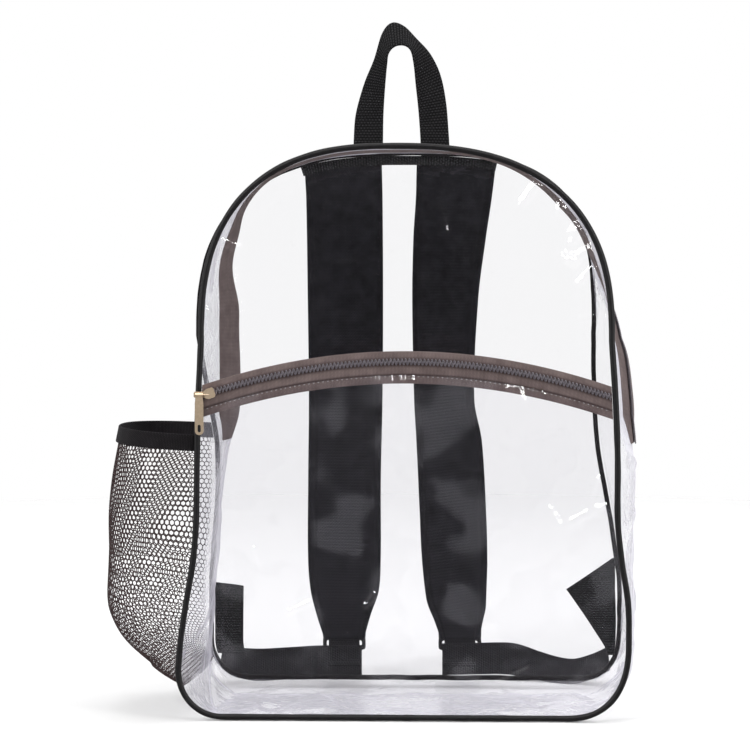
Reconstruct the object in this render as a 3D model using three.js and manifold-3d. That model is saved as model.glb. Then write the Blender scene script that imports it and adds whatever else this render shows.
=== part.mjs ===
// Clear stadium backpack, in millimetres. +Z is up, its front faces -Y, and +X is on the right from the front.
// It stands empty on its floor, with both shoulder straps hanging down behind the back panel.
import * as THREE from 'three';
import { mergeVertices } from 'three/addons/utils/BufferGeometryUtils.js';
import Module from 'manifold-3d';

const wasm = await Module();
wasm.setup();

// Driving sizes
const CLEAR = 0.3; // gap between pieces that touch
const VINYL = 1; // wall of the clear sheets
const DEPTH = 127; // from the front seam to the back seam
const FRONT_BULGE = 3; // how far the middle of the front panel stands forward
const BACK_BULGE = 1.5; // how far the middle of the back panel stands out
const POCKET_BULGE = 10; // how far the front pocket's sheet stands off the front panel
const POCKET_SWELL = { across: 4, up: 2.5 }; // powers of the pocket's rise from its edges: higher is squarer
const FLOOR_SAG = 9; // how far the floor would hang between its seams, before it is pressed flat
const GUSSET_ROUND = 0.8; // power of the gusset's curve from seam to seam: lower is squarer
const PIPING = { radius: 2.25, sides: 8 };
const BINDING = { across: 3.6, deep: 6 };

// The front seam line: crown and spring are heights, and baseHalf is half its width near the floor.
const FRONT_SEAM = {
  baseHalf: 162.5,
  crown: 415.7,
  spring: 276,
  floor: PIPING.radius + CLEAR,
  crownShift: -9,
  archPower: 2.55,
  corner: {
    left: { across: 33, up: 37, power: 2.1 },
    right: { across: 45, up: 58, power: 2.4 },
  },
  // up: share of the crown's height. left, right: shares of baseHalf.
  widths: [
    { up: 0.086, left: 1.014, right: 0.99 },
    { up: 0.14, left: 1.002, right: 0.996 },
    { up: 0.21, left: 0.975, right: 0.991 },
    { up: 0.28, left: 0.945, right: 0.963 },
    { up: 0.35, left: 0.93, right: 0.944 },
    { up: 0.455, left: 0.925, right: 0.942 },
    { up: 0.557, left: 0.919, right: 0.932 },
    { up: 0.664, left: 0.905, right: 0.913 },
  ],
};
const BACK_SEAM = {
  baseHalf: 160,
  crown: 413.4,
  spring: 276,
  floor: 8,
  crownShift: -6,
  archPower: 3.1,
  corner: {
    left: { across: 30, up: 38, power: 2.1 },
    right: { across: 30, up: 40, power: 2.2 },
  },
  widths: [
    { up: 0.086, left: 0.955, right: 1.03 },
    { up: 0.14, left: 0.955, right: 1.035 },
    { up: 0.21, left: 0.953, right: 1.03 },
    { up: 0.28, left: 0.94, right: 1.005 },
    { up: 0.35, left: 0.925, right: 0.975 },
    { up: 0.455, left: 0.91, right: 0.925 },
    { up: 0.557, left: 0.905, right: 0.906 },
    { up: 0.664, left: 0.905, right: 0.903 },
  ],
};
// How far the gusset stands out between its seams, as shares of DEPTH. A minus sign is a side that caves in.
const GUSSET_BULGE = [
  { up: 0, left: 0, right: 0 },
  { up: 0.09, left: -0.058, right: 0.05 },
  { up: 0.19, left: -0.082, right: 0.06 },
  { up: 0.33, left: -0.08, right: 0.11 },
  { up: 0.46, left: -0.09, right: 0.153 },
  { up: 0.55, left: -0.116, right: 0.15 },
  { up: 0.63, left: -0.114, right: 0.13 },
  { up: 0.71, left: -0.105, right: 0.07 },
  { up: 0.8, left: -0.084, right: 0.02 },
  { up: 0.91, left: -0.03, right: 0 },
  { up: 0.96, left: 0.02, right: 0.01 },
  { up: 1, left: 0.012, right: 0.012 },
];

const MAIN_ZIP = { end: 200, tape: 11.5, tapeThick: 0.8, coil: 5, coilThick: 2 };
// The pocket's zipper crosses the front on a low arch: the upper edge, then the widths of its bands.
const POCKET_ZIP = {
  crown: 268.5,
  rise: 25,
  half: 147,
  upperTape: 4.2,
  coil: 5.6,
  lowerTape: 6.2,
  underVinyl: 6,
  tapeThick: 0.8,
  coilThick: 1.8,
};
// The pocket's slider: bar is the radius of the bar that its pull turns on, and barDrop is how far that lies
// below the coil's middle.
const SLIDER = {
  x: -140.6,
  long: 7.6,
  wide: 7.4,
  thick: 3,
  bar: 0.7,
  barDrop: 1,
  lug: 0.8,
  plate: 0.6,
  margin: 0.5,
};
// Half of the slider's outline, as shares of its length and width
const SLIDER_OUTLINE = [
  { along: -0.5, across: 0.34 },
  { along: -0.2, across: 0.5 },
  { along: 0.36, across: 0.5 },
  { along: 0.5, across: 0.3 },
];
const PULL = {
  wide: 6.2,
  neck: 5.4,
  neckLong: 3,
  flare: 3,
  long: 29,
  thick: 1.3,
  knuckle: 1.6,
  slot: 2.4,
  slotLong: 5.6,
};
const MAIN_SLIDER = { long: 9, wide: 8, thick: 2, apart: 0.6, tabLong: 22, tabWide: 6, tabThick: 1, lap: 1 };

const TOP_BAND = { left: -83, right: 70, tall: 6, thick: 1.2 };
// sewn: how far the loop's feet reach below the back seam's crown
const HANDLE = { width: 23, thick: 1.6, sewn: 2.4, rise: 105.5, centre: -4, span: 52 };
// The haul loop's two edges, from its left foot to its right foot. x: share of span from the centre,
// z: share of rise above the foot, y: share of the webbing's width behind the back seam.
const HANDLE_EDGES = [
  { outerX: -0.727, outerY: 0, outerZ: 0, innerX: -0.283, innerY: 0, innerZ: 0 },
  { outerX: -0.722, outerY: 0, outerZ: 0.15, innerX: -0.281, innerY: 0, innerZ: 0.15 },
  { outerX: -0.69, outerY: 0.03, outerZ: 0.32, innerX: -0.275, innerY: 0, innerZ: 0.32 },
  { outerX: -0.565, outerY: 0.08, outerZ: 0.535, innerX: -0.255, innerY: 0, innerZ: 0.51 },
  { outerX: -0.415, outerY: 0.16, outerZ: 0.715, innerX: -0.23, innerY: -0.06, innerZ: 0.665 },
  { outerX: -0.3, outerY: 0.32, outerZ: 0.905, innerX: -0.205, innerY: -0.22, innerZ: 0.745 },
  { outerX: -0.16, outerY: 0.36, outerZ: 0.985, innerX: -0.11, innerY: -0.27, innerZ: 0.795 },
  { outerX: 0.02, outerY: 0.34, outerZ: 0.96, innerX: 0.03, innerY: -0.26, innerZ: 0.805 },
  { outerX: 0.21, outerY: 0.3, outerZ: 0.865, innerX: 0.13, innerY: -0.2, innerZ: 0.77 },
  { outerX: 0.42, outerY: 0.2, outerZ: 0.75, innerX: 0.17, innerY: -0.1, innerZ: 0.68 },
  { outerX: 0.57, outerY: 0.1, outerZ: 0.6, innerX: 0.2, innerY: 0, innerZ: 0.52 },
  { outerX: 0.655, outerY: 0.03, outerZ: 0.4, innerX: 0.235, innerY: 0, innerZ: 0.36 },
  { outerX: 0.695, outerY: 0, outerZ: 0.17, innerX: 0.265, innerY: 0, innerZ: 0.17 },
  { outerX: 0.715, outerY: 0, outerZ: 0, innerX: 0.28, innerY: 0, innerZ: 0 },
];

const STRAP = { width: 57, thick: 4, bottom: 34, bow: 32 };
// down: share of the drop. x: share of the strap's width from the bag's middle. wide: share of its width.
// out: share of the bow behind the back panel. turn: degrees that the strap is turned about its length.
const LEFT_STRAP = [
  { down: 0, x: -0.874, wide: 1.01, out: 0, turn: 0 },
  { down: 0.07, x: -0.862, wide: 1, out: 0.25, turn: 0 },
  { down: 0.28, x: -0.862, wide: 1, out: 0.85, turn: 0 },
  { down: 0.49, x: -0.862, wide: 0.98, out: 1, turn: 3 },
  { down: 0.66, x: -0.878, wide: 0.96, out: 0.96, turn: 6 },
  { down: 0.83, x: -0.878, wide: 0.92, out: 0.85, turn: 6 },
  { down: 0.915, x: -0.872, wide: 0.83, out: 0.76, turn: 3 },
  { down: 0.957, x: -0.886, wide: 0.63, out: 0.68, turn: 0 },
  { down: 1, x: -0.879, wide: 0.48, out: 0.66, turn: 0 },
];
const RIGHT_STRAP = [
  { down: 0, x: 0.665, wide: 1.03, out: 0, turn: 0 },
  { down: 0.07, x: 0.632, wide: 1, out: 0.25, turn: -8 },
  { down: 0.15, x: 0.577, wide: 1, out: 0.5, turn: -18 },
  { down: 0.28, x: 0.517, wide: 1, out: 0.85, turn: -30 },
  { down: 0.49, x: 0.505, wide: 1, out: 1, turn: -38 },
  { down: 0.58, x: 0.575, wide: 1, out: 1, turn: -30 },
  { down: 0.74, x: 0.632, wide: 0.98, out: 0.92, turn: -26 },
  { down: 0.83, x: 0.654, wide: 0.95, out: 0.86, turn: -24 },
  { down: 0.915, x: 0.676, wide: 0.84, out: 0.77, turn: -20 },
  { down: 0.957, x: 0.712, wide: 0.64, out: 0.68, turn: 0 },
  { down: 1, x: 0.733, wide: 0.48, out: 0.66, turn: 0 },
];
const ADJUSTER = { wide: 34, tall: 20, thick: 3, rail: 3, slotWide: 27, low: 24 };
// before: how far the webbing starts inside the adjuster's middle. straight: the share of its way that runs
// square behind the adjuster. endGap: from its end to the back binding.
const LOWER_WEBBING = { width: 26, thick: 1.5, lowest: 0.3, before: 14, straight: 0.33, endGap: 2 };
// way: share from the strap's end to the corner tab. low, out: shares of the webbing's width, above its
// lowest place and behind its straight path. turn: degrees that its upper edge leans back.
const LEFT_WEBBING = [
  { way: 0, low: 0.1, out: 0, turn: 0 },
  { way: 0.33, low: 0.08, out: 0, turn: 0 },
  { way: 0.55, low: 0.03, out: 0.12, turn: 8 },
  { way: 0.8, low: 0, out: 0.08, turn: 15 },
  { way: 1, low: 0, out: 0, turn: 28 },
];
const RIGHT_WEBBING = [
  { way: 0, low: 0.16, out: 0, turn: 0 },
  { way: 0.33, low: 0.2, out: 0, turn: 0 },
  { way: 0.42, low: 0.18, out: 0.08, turn: 8 },
  { way: 0.6, low: 0.03, out: 0.2, turn: 36 },
  { way: 0.78, low: 0, out: 0.12, turn: 50 },
  { way: 0.9, low: 0, out: 0.05, turn: 46 },
  { way: 1, low: 0, out: 0, turn: 28 },
];
// The corner tabs: tip is a share of the top's height, and low is the lower edge as a share of reach.
const TAB = {
  thick: 1.5,
  foot: 26,
  left: { top: 82, tip: 0.97, reach: 23, low: 0.98 },
  right: { top: 102, tip: 0.76, reach: 40, low: 0.075 },
};

const MESH_POCKET = {
  wall: 1,
  bulge: 76,
  foot: 24,
  hem: 210,
  hemRise: 6,
  hemTall: 10.5,
  hemThick: 1.6,
  roundness: 2.3,
  fromSeam: 1,
};
// up: share of the way from the pocket's foot to its hem. out: share of its bulge. hug: how closely it
// follows the caved gusset, from 1 at its foot to 0 where it hangs free.
const MESH_ROWS = [
  { up: 0, out: 0, hug: 1 },
  { up: 0.03, out: 0.19, hug: 0.8 },
  { up: 0.065, out: 0.37, hug: 0.5 },
  { up: 0.11, out: 0.56, hug: 0.3 },
  { up: 0.17, out: 0.76, hug: 0.1 },
  { up: 0.24, out: 0.9, hug: 0 },
  { up: 0.36, out: 0.98, hug: 0 },
  { up: 0.5, out: 1, hug: 0 },
  { up: 0.64, out: 0.985, hug: 0 },
  { up: 0.8, out: 0.93, hug: 0 },
  { up: 0.92, out: 0.87, hug: 0 },
  { up: 1, out: 0.855, hug: 0 },
];

const FINISH = {
  vinyl: { color: 0xeeeef4, roughness: 0.12, metalness: 0, transparent: true, opacity: 0.35 },
  piping: { color: 0x222224, roughness: 0.45, metalness: 0 },
  webbing: { color: 0x1e1e20, roughness: 0.85, metalness: 0 },
  strap: { color: 0x26262a, roughness: 0.9, metalness: 0 },
  tape: { color: 0x6f6462, roughness: 0.8, metalness: 0 },
  coil: { color: 0x5d5860, roughness: 0.5, metalness: 0 },
  brass: { color: 0x8a7358, roughness: 0.35, metalness: 1 },
  mesh: { color: 0x3a3436, roughness: 0.8, metalness: 0 },
  plastic: { color: 0x1c1c1e, roughness: 0.4, metalness: 0 },
};

const backpack = new THREE.Group();
const lerp = THREE.MathUtils.lerp;
const clamp = THREE.MathUtils.clamp;
const steps = (count) => Array.from({ length: count + 1 }, (_, i) => i / count);

function add(name, geometry, finish, parent = backpack) {
  const piece = new THREE.Mesh(geometry, new THREE.MeshStandardMaterial(FINISH[finish]));
  piece.name = name;
  parent.add(piece);
  return piece;
}

// Reads a column of a table at a value of its key, on a smooth curve through the rows.
function read(table, key, column, at) {
  const last = table.length - 1;
  if (at <= table[0][key]) return table[0][column];
  if (at >= table[last][key]) return table[last][column];
  const i = table.findIndex((row) => row[key] > at) - 1;
  const slope = (k) => {
    const a = table[Math.max(k - 1, 0)];
    const b = table[Math.min(k + 1, last)];
    return (b[column] - a[column]) / (b[key] - a[key]);
  };
  const [p, q] = [table[i], table[i + 1]];
  const width = q[key] - p[key];
  const s = (at - p[key]) / width;
  return (
    p[column] * (1 + 2 * s) * (1 - s) ** 2 +
    slope(i) * width * s * (1 - s) ** 2 +
    q[column] * s * s * (3 - 2 * s) +
    slope(i + 1) * width * s * s * (s - 1)
  );
}

function geometryOf(points, faces) {
  const geometry = new THREE.BufferGeometry();
  const values = points.flatMap((p) => [p.x, p.y, p.z]);
  geometry.setAttribute('position', new THREE.Float32BufferAttribute(values, 3));
  geometry.setIndex(faces);
  return geometry;
}

// A sheet at(u, v) with a wall of the given thickness, half to each side. us and vs are the values of u and v
// that its grid takes. upright turns the thickness along Y. No point goes below the surface it stands on.
function sheet(at, thick, us, vs, { upright = false } = {}) {
  const step = 1e-4;
  const sides = [[], []];
  for (const v of vs) {
    for (const u of us) {
      const p = at(u, v);
      const du = at(Math.min(u + step, 1), v).sub(at(Math.max(u - step, 0), v));
      const dv = at(u, Math.min(v + step, 1)).sub(at(u, Math.max(v - step, 0)));
      const normal = du.cross(dv);
      if (upright) normal.set(0, normal.y, 0);
      normal.normalize();
      sides[0].push(p.clone().addScaledVector(normal, thick / 2));
      sides[1].push(p.clone().addScaledVector(normal, -thick / 2));
    }
  }
  const points = [...sides[0], ...sides[1]];
  for (const p of points) p.z = Math.max(p.z, 0);
  const [across, along] = [us.length, vs.length];
  const back = across * along;
  const faces = [];
  const quad = (a, b, c, d) => faces.push(a, b, c, a, c, d);
  for (let j = 0; j + 1 < along; j++) {
    for (let i = 0; i + 1 < across; i++) {
      const a = j * across + i;
      const b = a + across;
      quad(a, a + 1, b + 1, b);
      quad(back + a, back + b, back + b + 1, back + a + 1);
    }
  }
  for (let i = 0; i + 1 < across; i++) {
    const top = (along - 1) * across + i;
    quad(back + i, back + i + 1, i + 1, i);
    quad(top, top + 1, back + top + 1, back + top);
  }
  for (let j = 0; j + 1 < along; j++) {
    const left = j * across;
    const right = left + across - 1;
    quad(left, left + across, back + left + across, back + left);
    quad(back + right, back + right + across, right + across, right);
  }
  return geometryOf(points, faces);
}

// A panel inside a closed outline, as rings that shrink to its centre. depthAt(x, z) is the y of its middle.
function panel(outline, centre, depthAt, thick) {
  const shrink = [1, 0.95, 0.82, 0.62, 0.38];
  const count = outline.length;
  const ring = (k) => outline.map((p) => ({ x: lerp(centre.x, p.x, k), z: lerp(centre.z, p.z, k) }));
  const places = [...shrink.flatMap(ring), centre];
  const side = (offset) => places.map((p) => new THREE.Vector3(p.x, depthAt(p.x, p.z) + offset, p.z));
  const points = [...side(-thick / 2), ...side(thick / 2)];
  const back = points.length / 2;
  const faces = [];
  const both = (a, b, c) => faces.push(a, b, c, back + a, back + c, back + b);
  for (let i = 0; i < count; i++) {
    const next = (i + 1) % count;
    for (let k = 0; k + 1 < shrink.length; k++) {
      const [a, b] = [k * count + i, k * count + next];
      both(a, b, b + count);
      both(a, b + count, a + count);
    }
    const inner = (shrink.length - 1) * count;
    both(inner + i, inner + next, back - 1);
    faces.push(i, back + i, back + next, i, back + next, next);
  }
  return geometryOf(points, faces);
}

// A solid swept round a closed loop of frames. Each frame is a place, an outward direction and +Y.
function hoop(frames, section) {
  const points = frames.flatMap(({ at, out }) =>
    section.map(([away, deep]) => new THREE.Vector3(at.x + out.x * away, at.y + deep, at.z + out.z * away)),
  );
  const [rings, sides] = [frames.length, section.length];
  const faces = [];
  for (let i = 0; i < rings; i++) {
    for (let k = 0; k < sides; k++) {
      const a = i * sides + k;
      const b = i * sides + ((k + 1) % sides);
      const c = ((i + 1) % rings) * sides + ((k + 1) % sides);
      const d = ((i + 1) % rings) * sides + k;
      faces.push(a, b, c, a, c, d);
    }
  }
  return geometryOf(points, faces);
}

const SIGN = { left: -1, right: 1 };

// A seam line seen from the front. Each hand of it runs from the middle of the floor (way 0), round the
// corner (1 to 2) and up the side (2 to 3), then over the arch to the crown (4).
class SeamLine {
  constructor(size) {
    Object.assign(this, size);
  }

  half(hand, z) {
    return this.baseHalf * read(this.widths, 'up', hand, z / this.crown);
  }

  point(hand, way) {
    const sign = SIGN[hand];
    const corner = this.corner[hand];
    const turn = ((way % 1) * Math.PI) / 2;
    const foot = this.half(hand, corner.up) - corner.across;
    if (way <= 1) return { x: sign * foot * way, z: this.floor };
    if (way < 2) {
      const power = 2 / corner.power;
      return {
        x: sign * (foot + corner.across * Math.sin(turn) ** power),
        z: this.floor + (corner.up - this.floor) * (1 - Math.cos(turn) ** power),
      };
    }
    if (way <= 3) {
      const z = lerp(corner.up, this.spring, way - 2);
      return { x: sign * this.half(hand, z), z };
    }
    if (way >= 4) return { x: this.crownShift, z: this.crown };
    const power = 2 / this.archPower;
    const shoulder = sign * this.half(hand, this.spring);
    return {
      x: lerp(this.crownShift, shoulder, Math.cos(turn) ** power),
      z: lerp(this.spring, this.crown, Math.sin(turn) ** power),
    };
  }

  // The direction that points out of the bag, square to the seam
  out(hand, way) {
    const near = 0.02;
    const a = this.point(hand, Math.max(way - near, 0));
    const b = this.point(hand, Math.min(way + near, 4));
    if (way <= 0) return { x: 0, z: -1 };
    if (way >= 4) return { x: 0, z: 1 };
    const length = Math.hypot(b.x - a.x, b.z - a.z);
    return { x: (SIGN[hand] * (b.z - a.z)) / length, z: (-SIGN[hand] * (b.x - a.x)) / length };
  }

  inset(hand, way, by) {
    const p = this.point(hand, way);
    const n = this.out(hand, way);
    return { x: p.x - n.x * by, z: p.z - n.z * by };
  }

  // The way at which one hand passes a height, up to the spring
  wayAt(hand, z) {
    const { up, power } = this.corner[hand];
    if (z >= up) return 2 + (z - up) / (this.spring - up);
    const left = 1 - clamp((z - this.floor) / (up - this.floor), 0, 1);
    return 1 + Math.acos(left ** (power / 2)) / (Math.PI / 2);
  }

  // The way at which the arch passes a distance from the middle
  archWay(hand, x) {
    const shoulder = SIGN[hand] * this.half(hand, this.spring);
    const share = clamp((x - this.crownShift) / (shoulder - this.crownShift), 0, 1);
    return 3 + Math.acos(share ** (this.archPower / 2)) / (Math.PI / 2);
  }
}

const front = new SeamLine(FRONT_SEAM);
const back = new SeamLine(BACK_SEAM);

// The ways round a whole seam line, from the middle of the floor to the right and back round on the left
const HALF_LOOP = [
  ...steps(3),
  ...steps(5).slice(1).map((s) => 1 + s),
  ...steps(7).slice(1).map((s) => 2 + s),
  ...steps(9).slice(1).map((s) => 3 + s),
];
const FULL_LOOP = [
  ...HALF_LOOP.map((way) => ({ hand: 'right', way })),
  ...HALF_LOOP.slice(1, -1).reverse().map((way) => ({ hand: 'left', way })),
];

// A place on the gusset: hand and way say where along the seams, and t goes from the front seam to the back.
function gussetPoint(hand, way, t) {
  const a = front.point(hand, way);
  const b = back.point(hand, way);
  const n = front.out(hand, way);
  const curve = Math.max(Math.sin(Math.PI * t), 0) ** GUSSET_ROUND;
  const bulge = DEPTH * read(GUSSET_BULGE, 'up', hand, a.z / front.crown) * curve;
  const sag = FLOOR_SAG * curve * clamp(2 - way, 0, 1);
  return new THREE.Vector3(
    lerp(a.x, b.x, t) + n.x * bulge,
    DEPTH * t,
    Math.max(lerp(a.z, b.z, t) + n.z * bulge - sag, VINYL / 2),
  );
}

// A strip of the gusset between two depths, along a list of hand and way pairs
function gussetStrip(route, from, to, thick, lift, across) {
  const at = (u, v) => {
    const place = clamp(v, 0, 1) * (route.length - 1);
    const i = Math.min(Math.floor(place), route.length - 2);
    const share = place - i;
    const t = lerp(from, to, u) / DEPTH;
    const point = (step) => {
      const p = gussetPoint(step.hand, step.way, t);
      const n = front.out(step.hand, step.way);
      return p.add(new THREE.Vector3(n.x * lift, 0, n.z * lift));
    };
    return point(route[i]).lerp(point(route[i + 1]), share);
  };
  return sheet(at, thick, steps(across), steps(route.length - 1));
}

// Over the top, from the zipper's end on the right to its end on the left
const zipWay = { left: front.wayAt('left', MAIN_ZIP.end), right: front.wayAt('right', MAIN_ZIP.end) };
const zipHalf = (hand) => [
  ...steps(3).slice(0, -1).map((s) => ({ hand, way: lerp(zipWay[hand], 3, s) })),
  ...steps(12).map((s) => ({ hand, way: 3 + s })),
];
const OVER = [...zipHalf('right'), ...zipHalf('left').slice(0, -1).reverse()];

// Under the bag, from the zipper's end on the left to its end on the right
const wayClear = (hand) => CLEAR / (front.spring - front.corner[hand].up);
const lowerHalf = (hand) => [
  ...steps(3).slice(0, -1),
  ...steps(5).slice(0, -1).map((s) => 1 + s),
  ...steps(6).map((s) => lerp(2, zipWay[hand] - wayClear(hand), s)),
].map((way) => ({ hand, way }));
const UNDER = [...lowerHalf('left').slice(1).reverse(), ...lowerHalf('right')];

const seamStart = PIPING.radius + CLEAR;
const seamEnd = DEPTH - BINDING.deep / 2 - CLEAR;
const zipMiddle = DEPTH / 2;
const coilHalf = MAIN_ZIP.coil / 2;
const tapeStart = zipMiddle - coilHalf - CLEAR - MAIN_ZIP.tape;
const tapeEnd = zipMiddle + coilHalf + CLEAR + MAIN_ZIP.tape;

// Pipings and bindings on the two seams
function seamFrames(line, y) {
  return FULL_LOOP.map(({ hand, way }) => {
    const p = line.point(hand, way);
    return { at: new THREE.Vector3(p.x, y, p.z), out: line.out(hand, way) };
  });
}

const roundSection = (radius, sides) =>
  Array.from({ length: sides }, (_, k) => {
    const turn = ((k + 0.5) / sides) * 2 * Math.PI;
    return [radius * Math.cos(turn), radius * Math.sin(turn)];
  });
const bandSection = (across, deep) => {
  const [a, d, cut] = [across / 2, deep / 2, across / 4];
  const half = [[a, -d + cut], [a, d - cut], [a - cut, d], [-a + cut, d]];
  return [...half, ...half.map(([away, deeper]) => [-away, -deeper])];
};
add('front_piping', hoop(seamFrames(front, 0), roundSection(PIPING.radius, PIPING.sides)), 'piping');
add('back_binding', hoop(seamFrames(back, DEPTH), bandSection(BINDING.across, BINDING.deep)), 'webbing');

// Front and back panels
function bellied(x, z, line) {
  const middle = line.crown / 2;
  return Math.max(1 - (x / line.baseHalf) ** 2, 0) * Math.max(1 - ((z - middle) / middle) ** 2, 0);
}
const frontFace = (x, z) => -FRONT_BULGE * bellied(x, z, front);
const panelBehind = CLEAR + VINYL / 2;
const frontOutline = FULL_LOOP.map(({ hand, way }) => front.inset(hand, way, PIPING.radius + CLEAR));
const backOutline = FULL_LOOP.map(({ hand, way }) => back.inset(hand, way, BINDING.across / 2 + CLEAR));
const bagMiddle = { x: 0, z: front.crown / 2 };
add('front_panel', panel(frontOutline, bagMiddle, (x, z) => frontFace(x, z) + panelBehind, VINYL), 'vinyl');
const backFace = (x, z) => DEPTH + BACK_BULGE * bellied(x, z, back);
add('back_panel', panel(backOutline, bagMiddle, backFace, VINYL), 'vinyl');

// The gusset: two strips beside the main zipper, and one below it that goes round the floor
add('gusset_front_strip', gussetStrip(OVER, seamStart, tapeStart - CLEAR, VINYL, 0, 2), 'vinyl');
add('gusset_rear_strip', gussetStrip(OVER, tapeEnd + CLEAR, seamEnd, VINYL, 0, 2), 'vinyl');
add('lower_gusset', gussetStrip(UNDER, seamStart, seamEnd, VINYL, 0, 8), 'vinyl');

// The main zipper
const zipTape = (from) => gussetStrip(OVER, from, from + MAIN_ZIP.tape, MAIN_ZIP.tapeThick, 0, 1);
add('main_zip_front_tape', zipTape(tapeStart), 'tape');
add('main_zip_rear_tape', zipTape(tapeEnd - MAIN_ZIP.tape), 'tape');
const coilLift = (MAIN_ZIP.coilThick - MAIN_ZIP.tapeThick) / 2;
add(
  'main_zip_coil',
  gussetStrip(OVER, zipMiddle - coilHalf, zipMiddle + coilHalf, MAIN_ZIP.coilThick, coilLift, 1),
  'coil',
);

// A closed mesh as a manifold, and a manifold as a mesh, for the few pieces with cuts and joins
function solid(geometry) {
  const bare = geometry.clone();
  bare.deleteAttribute('normal');
  bare.deleteAttribute('uv');
  const merged = mergeVertices(bare, 1e-4);
  return new wasm.Manifold(
    new wasm.Mesh({
      numProp: 3,
      vertProperties: new Float32Array(merged.attributes.position.array),
      triVerts: new Uint32Array(merged.index.array),
    }),
  );
}
function fromSolid(manifold) {
  const mesh = manifold.getMesh();
  const geometry = new THREE.BufferGeometry();
  geometry.setAttribute('position', new THREE.Float32BufferAttribute(mesh.vertProperties, 3));
  geometry.setIndex([...mesh.triVerts]);
  return geometry;
}
const block = (size, x, y, z) => new THREE.BoxGeometry(...size).translate(x, y, z);
const rod = (radius, length, sides) =>
  new THREE.CylinderGeometry(radius, radius, length, sides).rotateZ(Math.PI / 2);

// The hidden sliders of the main zipper meet at the crown. Each has its pull laid flat on the tape.
function mainSlider(hand) {
  const sign = SIGN[hand];
  const body = block([MAIN_SLIDER.long, MAIN_SLIDER.wide, MAIN_SLIDER.thick], 0, 0, MAIN_SLIDER.thick / 2);
  const tab = block(
    [MAIN_SLIDER.tabLong, MAIN_SLIDER.tabWide, MAIN_SLIDER.tabThick],
    sign * (MAIN_SLIDER.long / 2 + MAIN_SLIDER.tabLong / 2 - MAIN_SLIDER.lap),
    0,
    MAIN_SLIDER.thick - MAIN_SLIDER.tabThick / 2,
  );
  return fromSolid(solid(body).add(solid(tab)));
}
const crownTop = gussetPoint('right', 4, zipMiddle / DEPTH).z + coilLift + MAIN_ZIP.coilThick / 2 + CLEAR;
for (const hand of ['left', 'right']) {
  const slider = add(`main_slider_${hand}`, mainSlider(hand), 'brass');
  const away = (MAIN_SLIDER.apart + MAIN_SLIDER.long) / 2;
  slider.position.set(front.crownShift + SIGN[hand] * away, zipMiddle, crownTop);
}

// The pocket zipper's bands, by how far each lies below the arch of its upper edge
const zipArch = (x, drop) => POCKET_ZIP.crown - drop - POCKET_ZIP.rise * (x / POCKET_ZIP.half) ** 2;
function rowEnd(hand, drop) {
  let x = SIGN[hand] * POCKET_ZIP.half;
  for (let round = 0; round < 6; round++) {
    x = front.inset(hand, front.wayAt(hand, zipArch(x, drop)), seamStart).x;
  }
  return x;
}
function zipBand(from, to, thick, away) {
  const ends = [from, to].map((drop) => [rowEnd('left', drop), rowEnd('right', drop)]);
  const at = (u, v) => {
    const x = lerp(lerp(ends[0][0], ends[1][0], v), lerp(ends[0][1], ends[1][1], v), u);
    const z = zipArch(x, lerp(from, to, v));
    return new THREE.Vector3(x, frontFace(x, z) - away, z);
  };
  return sheet(at, thick, steps(24), steps(1), { upright: true });
}
const coilTop = POCKET_ZIP.upperTape + CLEAR;
const coilBottom = coilTop + POCKET_ZIP.coil;
const lowerTop = coilBottom + CLEAR;
const vinylTop = lowerTop + POCKET_ZIP.lowerTape;
const lowerBottom = vinylTop + POCKET_ZIP.underVinyl;
const tapeAway = POCKET_ZIP.tapeThick / 2;
const coilAway = POCKET_ZIP.coilThick / 2 + CLEAR;
add('pocket_zip_upper_tape', zipBand(0, POCKET_ZIP.upperTape, POCKET_ZIP.tapeThick, tapeAway), 'tape');
add('pocket_zip_coil', zipBand(coilTop, coilBottom, POCKET_ZIP.coilThick, coilAway), 'coil');
add('pocket_zip_lower_tape', zipBand(lowerTop, lowerBottom, POCKET_ZIP.tapeThick, tapeAway), 'tape');

// The pocket's clear sheet, from the floor seam up to the stitching on the lower tape
const pocketAway = POCKET_ZIP.tapeThick + CLEAR + VINYL / 2;
function pocketFace(x, z) {
  const up = clamp((z - front.floor) / (zipArch(x, vinylTop) - front.floor), 0, 1);
  const across = Math.max(1 - Math.abs(x / front.baseHalf) ** POCKET_SWELL.across, 0);
  const swell = across * (1 - Math.abs(2 * up - 1) ** POCKET_SWELL.up);
  return frontFace(x, z) - pocketAway - POCKET_BULGE * swell;
}
function pocketOutline() {
  const ends = { left: rowEnd('left', vinylTop), right: rowEnd('right', vinylTop) };
  const topWay = (hand) => front.wayAt(hand, zipArch(ends[hand], vinylTop));
  const side = (hand) => [
    ...steps(3).slice(0, -1),
    ...steps(5).slice(0, -1).map((s) => 1 + s),
    ...steps(6).map((s) => lerp(2, topWay(hand), s)),
  ].map((way) => front.inset(hand, way, seamStart));
  const across = steps(12).slice(1, -1).map((s) => lerp(ends.right, ends.left, s));
  const arch = across.map((x) => ({ x, z: zipArch(x, vinylTop) }));
  return [...side('right'), ...arch, ...side('left').slice(1).reverse()];
}
const pocketMiddle = { x: 0, z: zipArch(0, vinylTop) / 2 };
add('pocket_panel', panel(pocketOutline(), pocketMiddle, pocketFace, VINYL), 'vinyl');

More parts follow.
